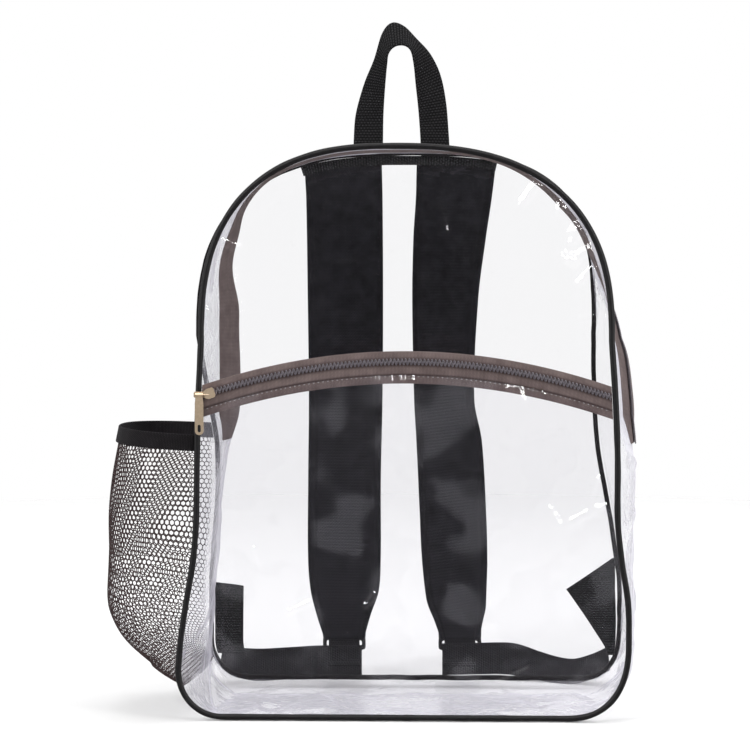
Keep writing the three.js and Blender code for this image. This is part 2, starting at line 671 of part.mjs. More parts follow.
// The pocket's slider: a body on the coil, and a yoke over the piping with the bar that its pull hangs on
const coilMiddle = (coilTop + coilBottom) / 2;
const sliderZ = zipArch(SLIDER.x, coilMiddle);
const sliderBack = frontFace(SLIDER.x, sliderZ) - coilAway - POCKET_ZIP.coilThick / 2 - CLEAR;
const sliderSlope = Math.atan((2 * POCKET_ZIP.rise * -SLIDER.x) / POCKET_ZIP.half ** 2);
const sliderReach = SLIDER_OUTLINE.map(
  ({ along, across }) =>
    SLIDER.long * along * Math.cos(sliderSlope) - SLIDER.wide * across * Math.sin(sliderSlope),
);
const bodyLeft = SLIDER.x + Math.min(...sliderReach);
const knuckleX = bodyLeft - CLEAR - PULL.neck / 2;
const yokeLeft = knuckleX - PULL.neck / 2 - CLEAR - SLIDER.lug;
const yokeBack = Math.min(sliderBack, -PIPING.radius - CLEAR);
const hingeY = yokeBack - SLIDER.plate - CLEAR - PULL.knuckle;
const hinge = new THREE.Vector3(knuckleX, hingeY, sliderZ - SLIDER.barDrop);

function sliderGeometry() {
  const edge = (side) =>
    SLIDER_OUTLINE.map((row) => new THREE.Vector2(SLIDER.long * row.along, side * SLIDER.wide * row.across));
  const outline = new THREE.Shape([...edge(-1), ...edge(1).reverse()]);
  const body = new THREE.ExtrudeGeometry(outline, { depth: SLIDER.thick, bevelEnabled: false })
    .rotateX(Math.PI / 2)
    .rotateY(-sliderSlope)
    .translate(SLIDER.x, sliderBack, sliderZ);
  const yokeLong = SLIDER.x - yokeLeft;
  const yokeMiddle = (SLIDER.x + yokeLeft) / 2;
  const plateTall = 2 * (PULL.knuckle + SLIDER.margin);
  const plate = block([yokeLong, SLIDER.plate, plateTall], yokeMiddle, yokeBack - SLIDER.plate / 2, hinge.z);
  const lugDeep = yokeBack - hinge.y + SLIDER.bar + SLIDER.margin;
  const lugX = yokeLeft + SLIDER.lug / 2;
  const lug = block([SLIDER.lug, lugDeep, 2 * PULL.knuckle], lugX, yokeBack - lugDeep / 2, hinge.z);
  const bar = rod(SLIDER.bar, yokeLong, 12).translate(yokeMiddle, hinge.y, hinge.z);
  return fromSolid([plate, lug, bar].reduce((whole, piece) => whole.add(solid(piece)), solid(body)));
}
add('pocket_slider', sliderGeometry(), 'brass');

function pullGeometry() {
  const [neck, wide] = [PULL.neck / 2, PULL.wide / 2];
  const flareLow = -PULL.neckLong - PULL.flare;
  const slotLow = -PULL.long + wide;
  const shape = new THREE.Shape();
  shape.moveTo(-neck, 0);
  shape.lineTo(neck, 0);
  shape.lineTo(neck, -PULL.neckLong);
  shape.lineTo(wide, flareLow);
  shape.lineTo(wide, slotLow);
  shape.absarc(0, slotLow, wide, 0, -Math.PI, true);
  shape.lineTo(-wide, flareLow);
  shape.lineTo(-neck, -PULL.neckLong);
  const slot = new THREE.Path();
  const slotEnd = PULL.slot / 2;
  slot.absarc(0, slotLow, slotEnd, Math.PI, 2 * Math.PI, false);
  slot.absarc(0, slotLow + PULL.slotLong - PULL.slot, slotEnd, 0, Math.PI, false);
  shape.holes.push(slot);
  const tab = new THREE.ExtrudeGeometry(shape, { depth: PULL.thick, bevelEnabled: false, curveSegments: 8 })
    .rotateX(Math.PI / 2)
    .translate(0, PULL.thick / 2, 0);
  const knuckle = rod(PULL.knuckle, PULL.neck, 12);
  const bore = rod(SLIDER.bar + CLEAR, PULL.neck + 2, 12);
  return fromSolid(solid(tab).add(solid(knuckle)).subtract(solid(bore)));
}
add('pocket_pull', pullGeometry(), 'brass').position.copy(hinge);

// The band that the straps hang from, along the arch of the back panel
const bandDrop = BINDING.across / 2 + 2 * CLEAR;
const bandLow = bandDrop + TOP_BAND.tall;
const bandY = backFace(0, back.crown - bandLow) + VINYL / 2 + CLEAR + TOP_BAND.thick / 2;
const topBand = (u, v) => {
  const x = lerp(TOP_BAND.left, TOP_BAND.right, u);
  const hand = x < back.crownShift ? 'left' : 'right';
  const p = back.inset(hand, back.archWay(hand, x), lerp(bandDrop, bandLow, v));
  return new THREE.Vector3(p.x, bandY, p.z);
};
add('top_band', sheet(topBand, TOP_BAND.thick, steps(16), steps(1), { upright: true }), 'webbing');

// The haul handle, a loop of webbing whose feet are sewn to the back seam
const handleY = DEPTH + BINDING.deep / 2 + CLEAR + HANDLE.thick / 2;
const handleRows = HANDLE_EDGES.map((row, i) => ({ ...row, way: i / (HANDLE_EDGES.length - 1) }));
function handlePoint(u, v) {
  const edge = (side) => {
    const value = (axis) => read(handleRows, 'way', side + axis, v);
    return new THREE.Vector3(
      HANDLE.centre + HANDLE.span * value('X'),
      handleY + HANDLE.width * value('Y'),
      back.crown - HANDLE.sewn + HANDLE.rise * value('Z'),
    );
  };
  return edge('outer').lerp(edge('inner'), u);
}
add('haul_handle', sheet(handlePoint, HANDLE.thick, steps(2), steps(26)), 'webbing');

// The shoulder straps, which hang from the band and taper to their adjusters
const strapTop = back.crown - bandLow;
const strapY = bandY + TOP_BAND.thick / 2 + CLEAR + STRAP.thick / 2;
function strapPoint(table, u, v) {
  const value = (column) => read(table, 'down', column, v);
  const turn = THREE.MathUtils.degToRad(value('turn'));
  const side = (u - 0.5) * STRAP.width * value('wide');
  return new THREE.Vector3(
    STRAP.width * value('x') + side * Math.cos(turn),
    strapY + STRAP.bow * value('out') + side * Math.sin(turn),
    lerp(strapTop, STRAP.bottom, v),
  );
}
const strapSteps = [0, 0.05, 0.12, 0.2, 0.3, 0.4, 0.5, 0.6, 0.7, 0.8, 0.87, 0.92, 0.96, 1];
const straps = { left: LEFT_STRAP, right: RIGHT_STRAP };
const webbings = { left: LEFT_WEBBING, right: RIGHT_WEBBING };
for (const hand of ['left', 'right']) {
  const table = straps[hand];
  const strap = sheet((u, v) => strapPoint(table, u, v), STRAP.thick, steps(2), strapSteps);
  add(`shoulder_strap_${hand}`, strap, 'strap');

  // The adjuster behind the strap's end: a frame with a slot for the strap and a slot for the webbing
  const end = strapPoint(table, 0.5, 1);
  const adjusterTop = (strapTop - ADJUSTER.low - ADJUSTER.tall) / (strapTop - STRAP.bottom);
  const strapBack = Math.max(
    ...[0, 0.5, 1].flatMap((u) => steps(4).map((s) => strapPoint(table, u, lerp(adjusterTop, 1, s)).y)),
  );
  const adjusterY = strapBack + STRAP.thick / 2 + 2 * CLEAR + ADJUSTER.thick / 2;
  const adjusterZ = ADJUSTER.low + ADJUSTER.tall / 2;
  const slotTall = (ADJUSTER.tall - 3 * ADJUSTER.rail) / 2;
  const slots = [1, -1].map((side) =>
    block([ADJUSTER.slotWide, 2 * ADJUSTER.thick, slotTall], 0, 0, (side * (slotTall + ADJUSTER.rail)) / 2),
  );
  const plate = solid(block([ADJUSTER.wide, ADJUSTER.thick, ADJUSTER.tall], 0, 0, 0));
  const frame = fromSolid(slots.reduce((whole, slot) => whole.subtract(solid(slot)), plate));
  add(`strap_adjuster_${hand}`, frame, 'plastic').position.set(end.x, adjusterY, adjusterZ);

  // The lower webbing, from below the strap's end along the floor to the back seam
  const tabX = back.point(hand, back.wayAt(hand, TAB.foot)).x;
  const fromX = end.x - SIGN[hand] * LOWER_WEBBING.before;
  const toX = tabX - SIGN[hand] * (BINDING.across / 2 + CLEAR + LOWER_WEBBING.endGap);
  const fromY = adjusterY - ADJUSTER.thick / 2 - CLEAR - LOWER_WEBBING.thick / 2;
  const tabY = DEPTH + BACK_BULGE + VINYL / 2 + CLEAR + TAB.thick + CLEAR + LOWER_WEBBING.thick / 2;
  const webbingPoint = (u, v) => {
    const value = (column) => read(webbings[hand], 'way', column, v);
    const turn = THREE.MathUtils.degToRad(value('turn'));
    const away = Math.max(v - LOWER_WEBBING.straight, 0) / (1 - LOWER_WEBBING.straight);
    return new THREE.Vector3(
      lerp(fromX, toX, v),
      lerp(fromY, tabY, away) + LOWER_WEBBING.width * (value('out') + u * Math.sin(turn)),
      LOWER_WEBBING.lowest + LOWER_WEBBING.width * (value('low') + u * Math.cos(turn)),
    );
  };
  add(`lower_webbing_${hand}`, sheet(webbingPoint, LOWER_WEBBING.thick, steps(2), steps(12)), 'webbing');

  // The corner tab that holds the webbing's end, sewn beside the back seam
  const seamX = (z) => back.inset(hand, back.wayAt(hand, z), BINDING.across / 2 + CLEAR).x;
  const { top, reach, low } = TAB[hand];
  const tip = top * TAB[hand].tip;
  const corners = [
    [seamX(top), top],
    [seamX(tip) - SIGN[hand] * reach, tip],
    [seamX(TAB.foot) - SIGN[hand] * reach * low, TAB.foot],
    [seamX(TAB.foot), TAB.foot],
    [seamX((top + TAB.foot) / 2), (top + TAB.foot) / 2],
  ];
  const outline = new THREE.Shape(corners.map(([x, z]) => new THREE.Vector2(x, z)));
  const tab = new THREE.ExtrudeGeometry(outline, { depth: TAB.thick, bevelEnabled: false })
    .rotateX(Math.PI / 2)
    .translate(0, DEPTH + BACK_BULGE + VINYL / 2 + CLEAR + TAB.thick, 0);
  add(`corner_tab_${hand}`, tab, 'webbing');
}

// The mesh pocket on the left side: a net wall from seam to seam, closed at its foot, with a hem at its mouth
const netStart = (seamStart + MESH_POCKET.fromSeam) / DEPTH;
const netEnd = (seamEnd - MESH_POCKET.fromSeam) / DEPTH;
function netPoint(u, up, away) {
  const t = lerp(netStart, netEnd, u);
  const round = (1 - Math.abs(2 * u - 1) ** MESH_POCKET.roundness) ** (1 / MESH_POCKET.roundness);
  const z = lerp(MESH_POCKET.foot, MESH_POCKET.hem, up) + MESH_POCKET.hemRise * round * up;
  const way = front.wayAt('left', z);
  const wall = gussetPoint('left', way, t);
  const a = front.point('left', way);
  const b = back.point('left', way);
  const chord = new THREE.Vector3(lerp(a.x, b.x, t), wall.y, lerp(a.z, b.z, t));
  const place = chord.lerp(wall, read(MESH_ROWS, 'up', 'hug', up));
  const out = front.out('left', way);
  const stand = VINYL / 2 + CLEAR + away + MESH_POCKET.bulge * read(MESH_ROWS, 'up', 'out', up) * round;
  place.x += out.x * stand;
  place.z += out.z * stand;
  return place;
}
const hemShare = MESH_POCKET.hemTall / (MESH_POCKET.hem - MESH_POCKET.foot);
const netTop = 1 - hemShare - CLEAR / (MESH_POCKET.hem - MESH_POCKET.foot);
const netSteps = steps(16).map((s) => (1 - Math.cos(Math.PI * s)) / 2);
const netRows = MESH_ROWS.map((row) => row.up);
const net = (u, v) => netPoint(u, v * netTop, MESH_POCKET.wall / 2);
const hem = (u, v) => netPoint(u, lerp(1 - hemShare, 1, v), MESH_POCKET.hemThick / 2);
add('mesh_pocket', sheet(net, MESH_POCKET.wall, netSteps, netRows), 'mesh');
add('mesh_pocket_hem', sheet(hem, MESH_POCKET.hemThick, netSteps, steps(1)), 'webbing');

// The origin is on the ground, at the middle of the whole object.
const box = new THREE.Box3().setFromObject(backpack);
const middle = box.getCenter(new THREE.Vector3());
backpack.position.set(-middle.x, -middle.y, -box.min.z);

export default backpack;
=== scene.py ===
"""Clear stadium backpack, dressed over its frame. Sizes are millimetres in the bag's own frame: y is 0 at the
front seam and grows to the back, x is 0 at the middle of the floor and grows to the right, z is up."""
import bpy
import numpy as np
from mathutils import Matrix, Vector


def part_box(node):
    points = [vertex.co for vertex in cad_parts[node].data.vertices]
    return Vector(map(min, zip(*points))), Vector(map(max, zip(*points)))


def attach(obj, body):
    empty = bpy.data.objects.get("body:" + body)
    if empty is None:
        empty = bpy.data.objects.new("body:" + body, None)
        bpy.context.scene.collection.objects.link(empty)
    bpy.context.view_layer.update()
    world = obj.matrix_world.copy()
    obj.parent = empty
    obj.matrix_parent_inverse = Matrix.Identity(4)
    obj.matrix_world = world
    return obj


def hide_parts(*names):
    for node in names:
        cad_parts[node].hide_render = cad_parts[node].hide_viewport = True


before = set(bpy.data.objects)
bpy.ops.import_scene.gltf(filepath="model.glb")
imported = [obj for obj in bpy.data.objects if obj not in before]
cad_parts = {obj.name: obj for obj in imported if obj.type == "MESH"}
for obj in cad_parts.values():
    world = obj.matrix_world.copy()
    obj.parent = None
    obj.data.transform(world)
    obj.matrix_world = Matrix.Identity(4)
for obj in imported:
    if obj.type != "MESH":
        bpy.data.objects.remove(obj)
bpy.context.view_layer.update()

MM = 0.001
STRAP_WIDTH = 57
ADJUSTER_OFFSET = -0.879  # the left adjuster's middle, as a share of the strap's width


def middle_of(node):
    low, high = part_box(node)
    return (np.array(low) + np.array(high)) / 2 / MM


ROW_ORIGIN = np.array([
    middle_of("strap_adjuster_left")[0] - ADJUSTER_OFFSET * STRAP_WIDTH,
    middle_of("front_piping")[1],
    0,
])

# Sizes that the pieces share with the frame
CLEAR = 0.3
DEPTH = 127
VINYL = 0.5
FRONT_BULGE = 3
BACK_BULGE = 1.5
FLOOR_SAG = 9
GUSSET_ROUND = 0.8
PIPING_RADIUS = 2.25
BINDING = {"across": 3.6, "deep": 6}
BACK_CROWN = 416.4


def lerp(a, b, share):
    return a + (b - a) * share


def unit(vectors):
    return vectors / np.maximum(np.linalg.norm(vectors, axis=-1, keepdims=True), 1e-9)


def smooth(keys, values, at):
    """A smooth curve through the rows of a table: cubic Hermite pieces, and each row's slope is the slope
    between its two neighbours. Flat before the first row and after the last."""
    keys, values = np.asarray(keys, float), np.asarray(values, float)
    last = len(keys) - 1
    rows = np.arange(last + 1)
    before, after = np.maximum(rows - 1, 0), np.minimum(rows + 1, last)
    slopes = (values[after] - values[before]) / (keys[after] - keys[before])
    at = np.clip(at, keys[0], keys[last])
    k = np.clip(np.searchsorted(keys, at, side="right") - 1, 0, last - 1)
    width = keys[k + 1] - keys[k]
    s = (at - keys[k]) / width
    start = values[k] * (1 + 2 * s) * (1 - s) ** 2 + slopes[k] * width * s * (1 - s) ** 2
    return start + values[k + 1] * s * s * (3 - 2 * s) + slopes[k + 1] * width * s * s * (s - 1)


def dimples(a, b, size, seed):
    """Soft dents from -1 to 1: seeded random heights on a square lattice of the given spacing, joined both
    ways by the curve 3s² - 2s³."""
    cells = 64
    heights = np.random.default_rng(seed).uniform(-1, 1, (cells, cells))
    i, j = np.floor(a / size).astype(int), np.floor(b / size).astype(int)
    s, t = a / size - i, b / size - j
    s, t = s * s * (3 - 2 * s), t * t * (3 - 2 * t)

    def corner(m, n):
        return heights[(i + m) % cells, (j + n) % cells]

    return lerp(lerp(corner(0, 0), corner(1, 0), s), lerp(corner(0, 1), corner(1, 1), s), t)


def creases(a, b, size, seed):
    """Sharp folds: 1 - 3|dimples|, held above 0, so a crease runs wherever the dents pass zero."""
    return np.maximum(1 - 3 * np.abs(dimples(a, b, size, seed)), 0)


class Seam:
    """A seam line seen from the front. A turn of 0 to 8 goes once round it: from the middle of the floor
    round the right corner (1 to 2), up the side (to 3) and over the crown (4), then down the left."""

    def __init__(self, base_half, crown, floor, crown_shift, arch_power, corners, widths, spring=276):
        self.base_half, self.crown, self.floor, self.spring = base_half, crown, floor, spring
        self.crown_shift, self.arch_power = crown_shift, arch_power
        self.corners, self.widths = corners, np.array(widths)

    def half(self, sign, z):
        """Half the width at a height, read from the table of shares for that hand."""
        up, left, right = self.widths.T
        left, right = (smooth(up, column, z / self.crown) for column in (left, right))
        return self.base_half * np.where(sign < 0, left, right)

    def power(self, sign):
        return np.where(sign < 0, *self.arch_power)

    def corner(self, sign):
        return [np.where(sign < 0, left, right) for left, right in zip(*self.corners)]

    def hand(self, turn):
        """The hand, -1 left or 1 right, and the way up it, 0 at the floor's middle and 4 at the crown."""
        turn = np.mod(turn, 8)
        return np.where(turn > 4, -1.0, 1.0), np.where(turn > 4, 8 - turn, turn)

    def point(self, sign, way):
        """Floor and side are straight or read from the table. Corner and arch are quarter superellipses."""
        across, up, power = self.corner(sign)
        quarter = np.mod(way, 1) * np.pi / 2
        sine, cosine = np.sin(quarter), np.cos(quarter)
        foot = self.half(sign, up) - across
        side_z = lerp(up, self.spring, way - 2)
        shoulder = sign * self.half(sign, np.full_like(way, self.spring))
        arch = 2 / self.power(sign)
        zones = [way <= 1, way < 2, way <= 3, way < 4]
        x = np.select(zones, [
            sign * foot * way,
            sign * (foot + across * sine ** (2 / power)),
            sign * self.half(sign, side_z),
            lerp(self.crown_shift, shoulder, cosine ** arch),
        ], self.crown_shift)
        z = np.select(zones, [
            np.full_like(way, self.floor),
            self.floor + (up - self.floor) * (1 - cosine ** (2 / power)),
            side_z,
            lerp(self.spring, self.crown, sine ** arch),
        ], self.crown)
        return x, z

    def out(self, sign, way):
        """The direction out of the bag, square to the seam, from two near points of it."""
        near = 0.02
        ax, az = self.point(sign, np.maximum(way - near, 0))
        bx, bz = self.point(sign, np.minimum(way + near, 4))
        long = np.maximum(np.hypot(bx - ax, bz - az), 1e-9)
        x, z = sign * (bz - az) / long, -sign * (bx - ax) / long
        x = np.where((way <= 0) | (way >= 4), 0, x)
        z = np.where(way <= 0, -1, np.where(way >= 4, 1, z))
        return x, z

    def inset(self, turn, by):
        """The seam line moved in by a distance."""
        sign, way = self.hand(turn)
        x, z = self.point(sign, way)
        nx, nz = self.out(sign, way)
        return x - nx * by, z - nz * by

    def way_at(self, sign, z):
        """The way at which a hand passes a height, up to the spring."""
        across, up, power = self.corner(np.asarray(sign, float))
        left = 1 - np.clip((z - self.floor) / (up - self.floor), 0, 1)
        low = 1 + np.arccos(left ** (power / 2)) / (np.pi / 2)
        return np.where(z >= up, 2 + (z - up) / (self.spring - up), low)

    def arch_turn(self, x):
        """The turn at which the arch passes a distance from the middle."""
        sign = np.where(x < self.crown_shift, -1.0, 1.0)
        shoulder = sign * self.half(sign, np.full_like(sign, self.spring))
        share = np.clip((x - self.crown_shift) / (shoulder - self.crown_shift), 0, 1)
        way = 3 + np.arccos(share ** (self.power(sign) / 2)) / (np.pi / 2)
        return np.where(sign < 0, 8 - way, way)

    def evenly(self, start, end, count):
        """Turns from start to end whose points lie at equal distances along the seam."""
        fine = np.linspace(start, end, 4001)
        x, z = self.point(*self.hand(fine))
        run = np.concatenate([[0], np.cumsum(np.hypot(np.diff(x), np.diff(z)))])
        return np.interp(np.linspace(0, run[-1], count), run, fine), run[-1]


front = Seam(
    162.5, 415.7, PIPING_RADIUS + CLEAR, -9, (2.55, 2.55),
    [(33, 37, 2.1), (45, 58, 2.4)],
    [(0.086, 1.014, 0.99), (0.14, 1.002, 0.996), (0.21, 0.975, 0.991), (0.28, 0.945, 0.963),
     (0.35, 0.93, 0.944), (0.455, 0.925, 0.942), (0.557, 0.919, 0.932), (0.664, 0.905, 0.913)],
)
back = Seam(
    160, BACK_CROWN, 8, -6, (2.6, 3.25),
    [(30, 38, 2.1), (30, 40, 2.2)],
    [(0.086, 0.955, 1.03), (0.14, 0.955, 1.035), (0.21, 0.953, 1.03), (0.28, 0.94, 1.005),
     (0.35, 0.925, 0.975), (0.455, 0.925, 0.925), (0.557, 0.97, 0.906), (0.664, 1.015, 0.903)],
)
# How far the gusset stands out between the seams, as shares of its depth: height, left, right
GUSSET_BULGE = np.array([
    (0, 0, 0), (0.09, -0.058, 0.05), (0.19, -0.082, 0.06), (0.33, -0.08, 0.11), (0.46, -0.12, 0.16),
    (0.52, -0.19, 0.18), (0.56, -0.215, 0.18), (0.63, -0.232, 0.155), (0.68, -0.235, 0.098), (0.73, -0.225, 0.03),
    (0.8, -0.155, -0.03), (0.865, -0.115, -0.05), (0.905, -0.06, -0.063), (0.95, -0.02, -0.05), (1, -0.01, -0.01),
])
# The upper part of the gusset's curve from the front seam to the back, fullest behind the zipper
UPPER_CURVE = np.array([(0, 0), (0.387, 0.49), (0.5, 0.8), (0.61, 1), (0.76, 0.78), (1, 0)])
UPPER_FROM, UPPER_OVER = 185, 35


def gusset(turn, t):
    """A place on the gusset. It runs straight from the front seam to the back seam, moved out by the table's
    share times sin(πt)^0.8 low down and times the upper curve high up. The floor hangs a little and is pressed
    flat where it rests."""
    sign, way = front.hand(turn)
    ax, az = front.point(sign, way)
    bx, bz = back.point(sign, way)
    nx, nz = front.out(sign, way)
    up, left, right = GUSSET_BULGE.T
    left, right = (smooth(up, column, az / front.crown) for column in (left, right))
    share = np.where(sign < 0, left, right)
    curve = np.maximum(np.sin(np.pi * t), 0) ** GUSSET_ROUND
    upper = smooth(*UPPER_CURVE.T, t)
    stand = DEPTH * share * lerp(curve, upper, np.clip((az - UPPER_FROM) / UPPER_OVER, 0, 1))
    sag = FLOOR_SAG * curve * np.clip(2 - way, 0, 1)
    z = np.maximum(lerp(az, bz, t) + nz * stand - sag, VINYL)
    return np.stack([lerp(ax, bx, t) + nx * stand, DEPTH * t + 0 * z, z], -1), np.stack([nx, 0 * nx, nz], -1)


def bellied(x, z, seam):
    half = seam.crown / 2
    return np.maximum(1 - (x / seam.base_half) ** 2, 0) * np.maximum(1 - ((z - half) / half) ** 2, 0)


def front_face(x, z):
    return -FRONT_BULGE * bellied(x, z, front)


def back_face(x, z):
    return DEPTH + BACK_BULGE * bellied(x, z, back)


# Making meshes

def build(name, points, faces, uv=None, flip=False):
    """A smooth-shaded mesh of points in millimetres. faces is a list of (n, 3) and (n, 4) arrays, and uv a
    list with the map's places of their corners, in metres."""
    kinds = [np.asarray(kind)[:, ::-1] if flip else np.asarray(kind) for kind in faces]
    corners = np.concatenate([kind.ravel() for kind in kinds])
    sizes = np.concatenate([np.full(len(kind), kind.shape[1]) for kind in kinds])
    mesh = bpy.data.meshes.new(name)
    mesh.vertices.add(len(points))
    mesh.vertices.foreach_set("co", ((points + ROW_ORIGIN) * MM).astype(np.float32).ravel())
    mesh.loops.add(len(corners))
    mesh.loops.foreach_set("vertex_index", corners.astype(np.int32))
    mesh.polygons.add(len(sizes))
    mesh.polygons.foreach_set("loop_start", (np.cumsum(sizes) - sizes).astype(np.int32))
    mesh.polygons.foreach_set("use_smooth", np.ones(len(sizes), bool))
    if uv is not None:
        places = np.concatenate([(kind[:, ::-1] if flip else kind).reshape(-1, 2) for kind in uv])
        mesh.uv_layers.new(name="UVMap").data.foreach_set("uv", (places * MM).astype(np.float32).ravel())
    mesh.update(calc_edges=True)
    piece = bpy.data.objects.new(name, mesh)
    bpy.context.scene.collection.objects.link(piece)
    return piece


def grid(rows, cols, wrap_rows=False, wrap_cols=False):
    """Quads between the points of a grid, as point numbers, and as numbers in a map with the seam doubled."""
    i = np.arange(rows if wrap_rows else rows - 1)[:, None]
    j = np.arange(cols if wrap_cols else cols - 1)[None, :]
    corners = [(i, j), (i, j + 1), (i + 1, j + 1), (i + 1, j)]
    wide = cols + wrap_cols
    faces = np.stack([(a % rows) * cols + b % cols + 0 * (i + j) for a, b in corners], -1)
    places = np.stack([a * wide + b + 0 * (i + j) for a, b in corners], -1)
    return faces.reshape(-1, 4), places.reshape(-1, 4)


def surface(name, places, wrap_rows=False, wrap_cols=False, pole=False, flip=False):
    """A sheet through a grid of places. Its map is the mean distance along the rows and down the columns.
    With pole, the last row is one point."""
    rows, cols = places.shape[:2]
    ring = np.concatenate([places, places[:, :1]], 1) if wrap_cols else places
    lap = np.concatenate([ring, ring[:1]], 0) if wrap_rows else ring
    across = np.linalg.norm(np.diff(lap, axis=1), axis=-1).mean(0)
    along = np.linalg.norm(np.diff(lap, axis=0), axis=-1).mean(1)
    u = np.concatenate([[0], np.cumsum(across)])
    v = np.concatenate([[0], np.cumsum(along)])
    chart = np.stack(np.broadcast_arrays(u[None, :], v[:, None]), -1)
    if not pole:
        faces, uv_at = grid(rows, cols, wrap_rows, wrap_cols)
        return build(name, places.reshape(-1, 3), [faces], [chart.reshape(-1, 2)[uv_at]], flip)
    faces, uv_at = grid(rows - 1, cols, False, wrap_cols)
    points = np.concatenate([places[:-1].reshape(-1, 3), places[-1:, :1].reshape(-1, 3)])
    j = np.arange(cols if wrap_cols else cols - 1)
    last = (rows - 2) * cols
    fan = np.stack([last + j, last + (j + 1) % cols, np.full_like(j, len(points) - 1)], -1)
    wide = chart.shape[1]
    fan_at = np.stack([(rows - 2) * wide + j, (rows - 2) * wide + j + 1, (rows - 1) * wide + j], -1)
    flat = chart.reshape(-1, 2)
    return build(name, points, [faces, fan], [flat[uv_at], flat[fan_at]], flip)


def slab(name, at, thick, us, vs):
    """A closed band round the sheet at(u, v): half of thick to each side along the sheet's normal, with half
    round edges, and closed ends. thick is a number or a function of u and v. A section starts at the middle
    of one edge, goes along the upper side, round the other edge and back along the lower side."""
    bend = np.linspace(-np.pi / 2, np.pi / 2, 5)
    loop_u = np.concatenate([[us[0]] * 2, us, [us[-1]] * 4, us[::-1], [us[0]] * 2])
    lift = np.concatenate([[0, 0.7], np.ones(len(us)), [0.7, 0, 0, -0.7], -np.ones(len(us)), [-0.7, 0]])
    over = np.concatenate([[-1, -0.7], np.zeros(len(us)), [0.7, 1, 1, 0.7], np.zeros(len(us)), [-0.7, -1]])
    keep = np.ones(len(loop_u), bool)
    keep[[len(us) + 4, len(loop_u) - 1]] = False
    loop_u, lift, over = loop_u[keep], lift[keep], over[keep]
    u, v = np.meshgrid(loop_u, vs)
    step = 1e-3
    du = at(np.minimum(u + step, 1), v) - at(np.maximum(u - step, 0), v)
    dv = at(u, np.minimum(v + step, 1)) - at(u, np.maximum(v - step, 0))
    normal, side = unit(np.cross(du, dv)), unit(du)
    half = (thick(u, v) if callable(thick) else np.full_like(u, thick)) / 2
    base = at(u, v)
    places = base + normal * (half * lift)[..., None] + side * (half * over)[..., None]
    rows, cols = places.shape[:2]
    width = np.linalg.norm(at(np.ones_like(vs), vs) - at(np.zeros_like(vs), vs), axis=-1).mean()
    middle = at(np.full_like(vs, 0.5), vs)
    run = np.concatenate([[0], np.cumsum(np.linalg.norm(np.diff(middle, axis=0), axis=-1))])
    ring = np.concatenate([loop_u, loop_u[:1]]) * width
    chart = np.stack(np.broadcast_arrays(ring[None, :], run[:, None]), -1).reshape(-1, 2)
    faces, uv_at = grid(rows, cols, False, True)
    k = np.arange(cols // 2)
    near = np.stack([k, -k % cols, (-k - 1) % cols, k + 1], -1)
    near = near[(near[:, 0] != near[:, 1]) | (near[:, 2] != near[:, 3])]
    far = (near + (rows - 1) * cols)[:, ::-1]
    caps = np.concatenate([near, far])
    quads = caps[(caps[:, 0] != caps[:, 1]) & (caps[:, 2] != caps[:, 3])]
    points_uv = np.stack(np.broadcast_arrays((loop_u * width)[None, :], run[:, None]), -1).reshape(-1, 2)
    ends = [row[[i for i in range(4) if row[i] != row[i - 1]]] for row in caps if len(set(row)) == 3]
    kinds, maps = [faces, quads], [chart[uv_at], points_uv[quads]]
    if ends:
        kinds.append(np.array(ends))
        maps.append(points_uv[np.array(ends)])
    return build(name, places.reshape(-1, 3), kinds, maps)


def tube(name, path, out, radius, sides=12, closed=True):
    """A round tube along a path: at each place a circle is spanned by the direction out, made square to the
    path, and the cross product of the two. An open tube gets a pole at each end."""
    ahead = np.roll(path, -1, 0) - np.roll(path, 1, 0) if closed else np.gradient(path, axis=0)
    tangent = unit(ahead)
    out = unit(out - tangent * np.sum(out * tangent, -1, keepdims=True))
    aside = np.cross(tangent, out)
    angle = np.arange(sides) / sides * 2 * np.pi
    reach = np.broadcast_to(np.asarray(radius, float), (len(path),))[:, None, None]
    circle = np.cos(angle)[None, :, None] * out[:, None] + np.sin(angle)[None, :, None] * aside[:, None]
    places = path[:, None] + reach * circle
    if closed:
        return surface(name, places, wrap_rows=True, wrap_cols=True)
    faces, uv_at = grid(len(path), sides, False, True)
    run = np.concatenate([[0], np.cumsum(np.linalg.norm(np.diff(path, axis=0), axis=-1))])
    girth = np.arange(sides + 1) / sides * 2 * np.pi * float(np.mean(radius))
    chart = np.stack(np.broadcast_arrays(girth[None, :], run[:, None]), -1).reshape(-1, 2)
    count = len(path) * sides
    points = np.concatenate([places.reshape(-1, 3), path[[0, -1]]])
    j = np.arange(sides)
    start = np.stack([(j + 1) % sides, j, np.full(sides, count)], -1)
    end = np.stack([count - sides + j, count - sides + (j + 1) % sides, np.full(sides, count + 1)], -1)
    flat = np.zeros((count + 2, 2))
    flat[:count] = chart.reshape(len(path), sides + 1, 2)[:, :sides].reshape(-1, 2)
    return build(name, points, [faces, start, end], [chart[uv_at], flat[start], flat[end]])


# A small spindle, eight faces round a long axis, for stitches
SPINDLE = np.array([(-0.5, 0, 0), (-0.3, 0.5, 0), (-0.3, 0, 0.5), (-0.3, -0.5, 0), (-0.3, 0, -0.5),
                    (0.3, 0.5, 0), (0.3, 0, 0.5), (0.3, -0.5, 0), (0.3, 0, -0.5), (0.5, 0, 0)])
SPINDLE_QUADS = np.array([(1, 2, 6, 5), (2, 3, 7, 6), (3, 4, 8, 7), (4, 1, 5, 8)])
SPINDLE_ENDS = np.array([(0, 2, 1), (0, 3, 2), (0, 4, 3), (0, 1, 4),
                         (9, 5, 6), (9, 6, 7), (9, 7, 8), (9, 8, 5)])


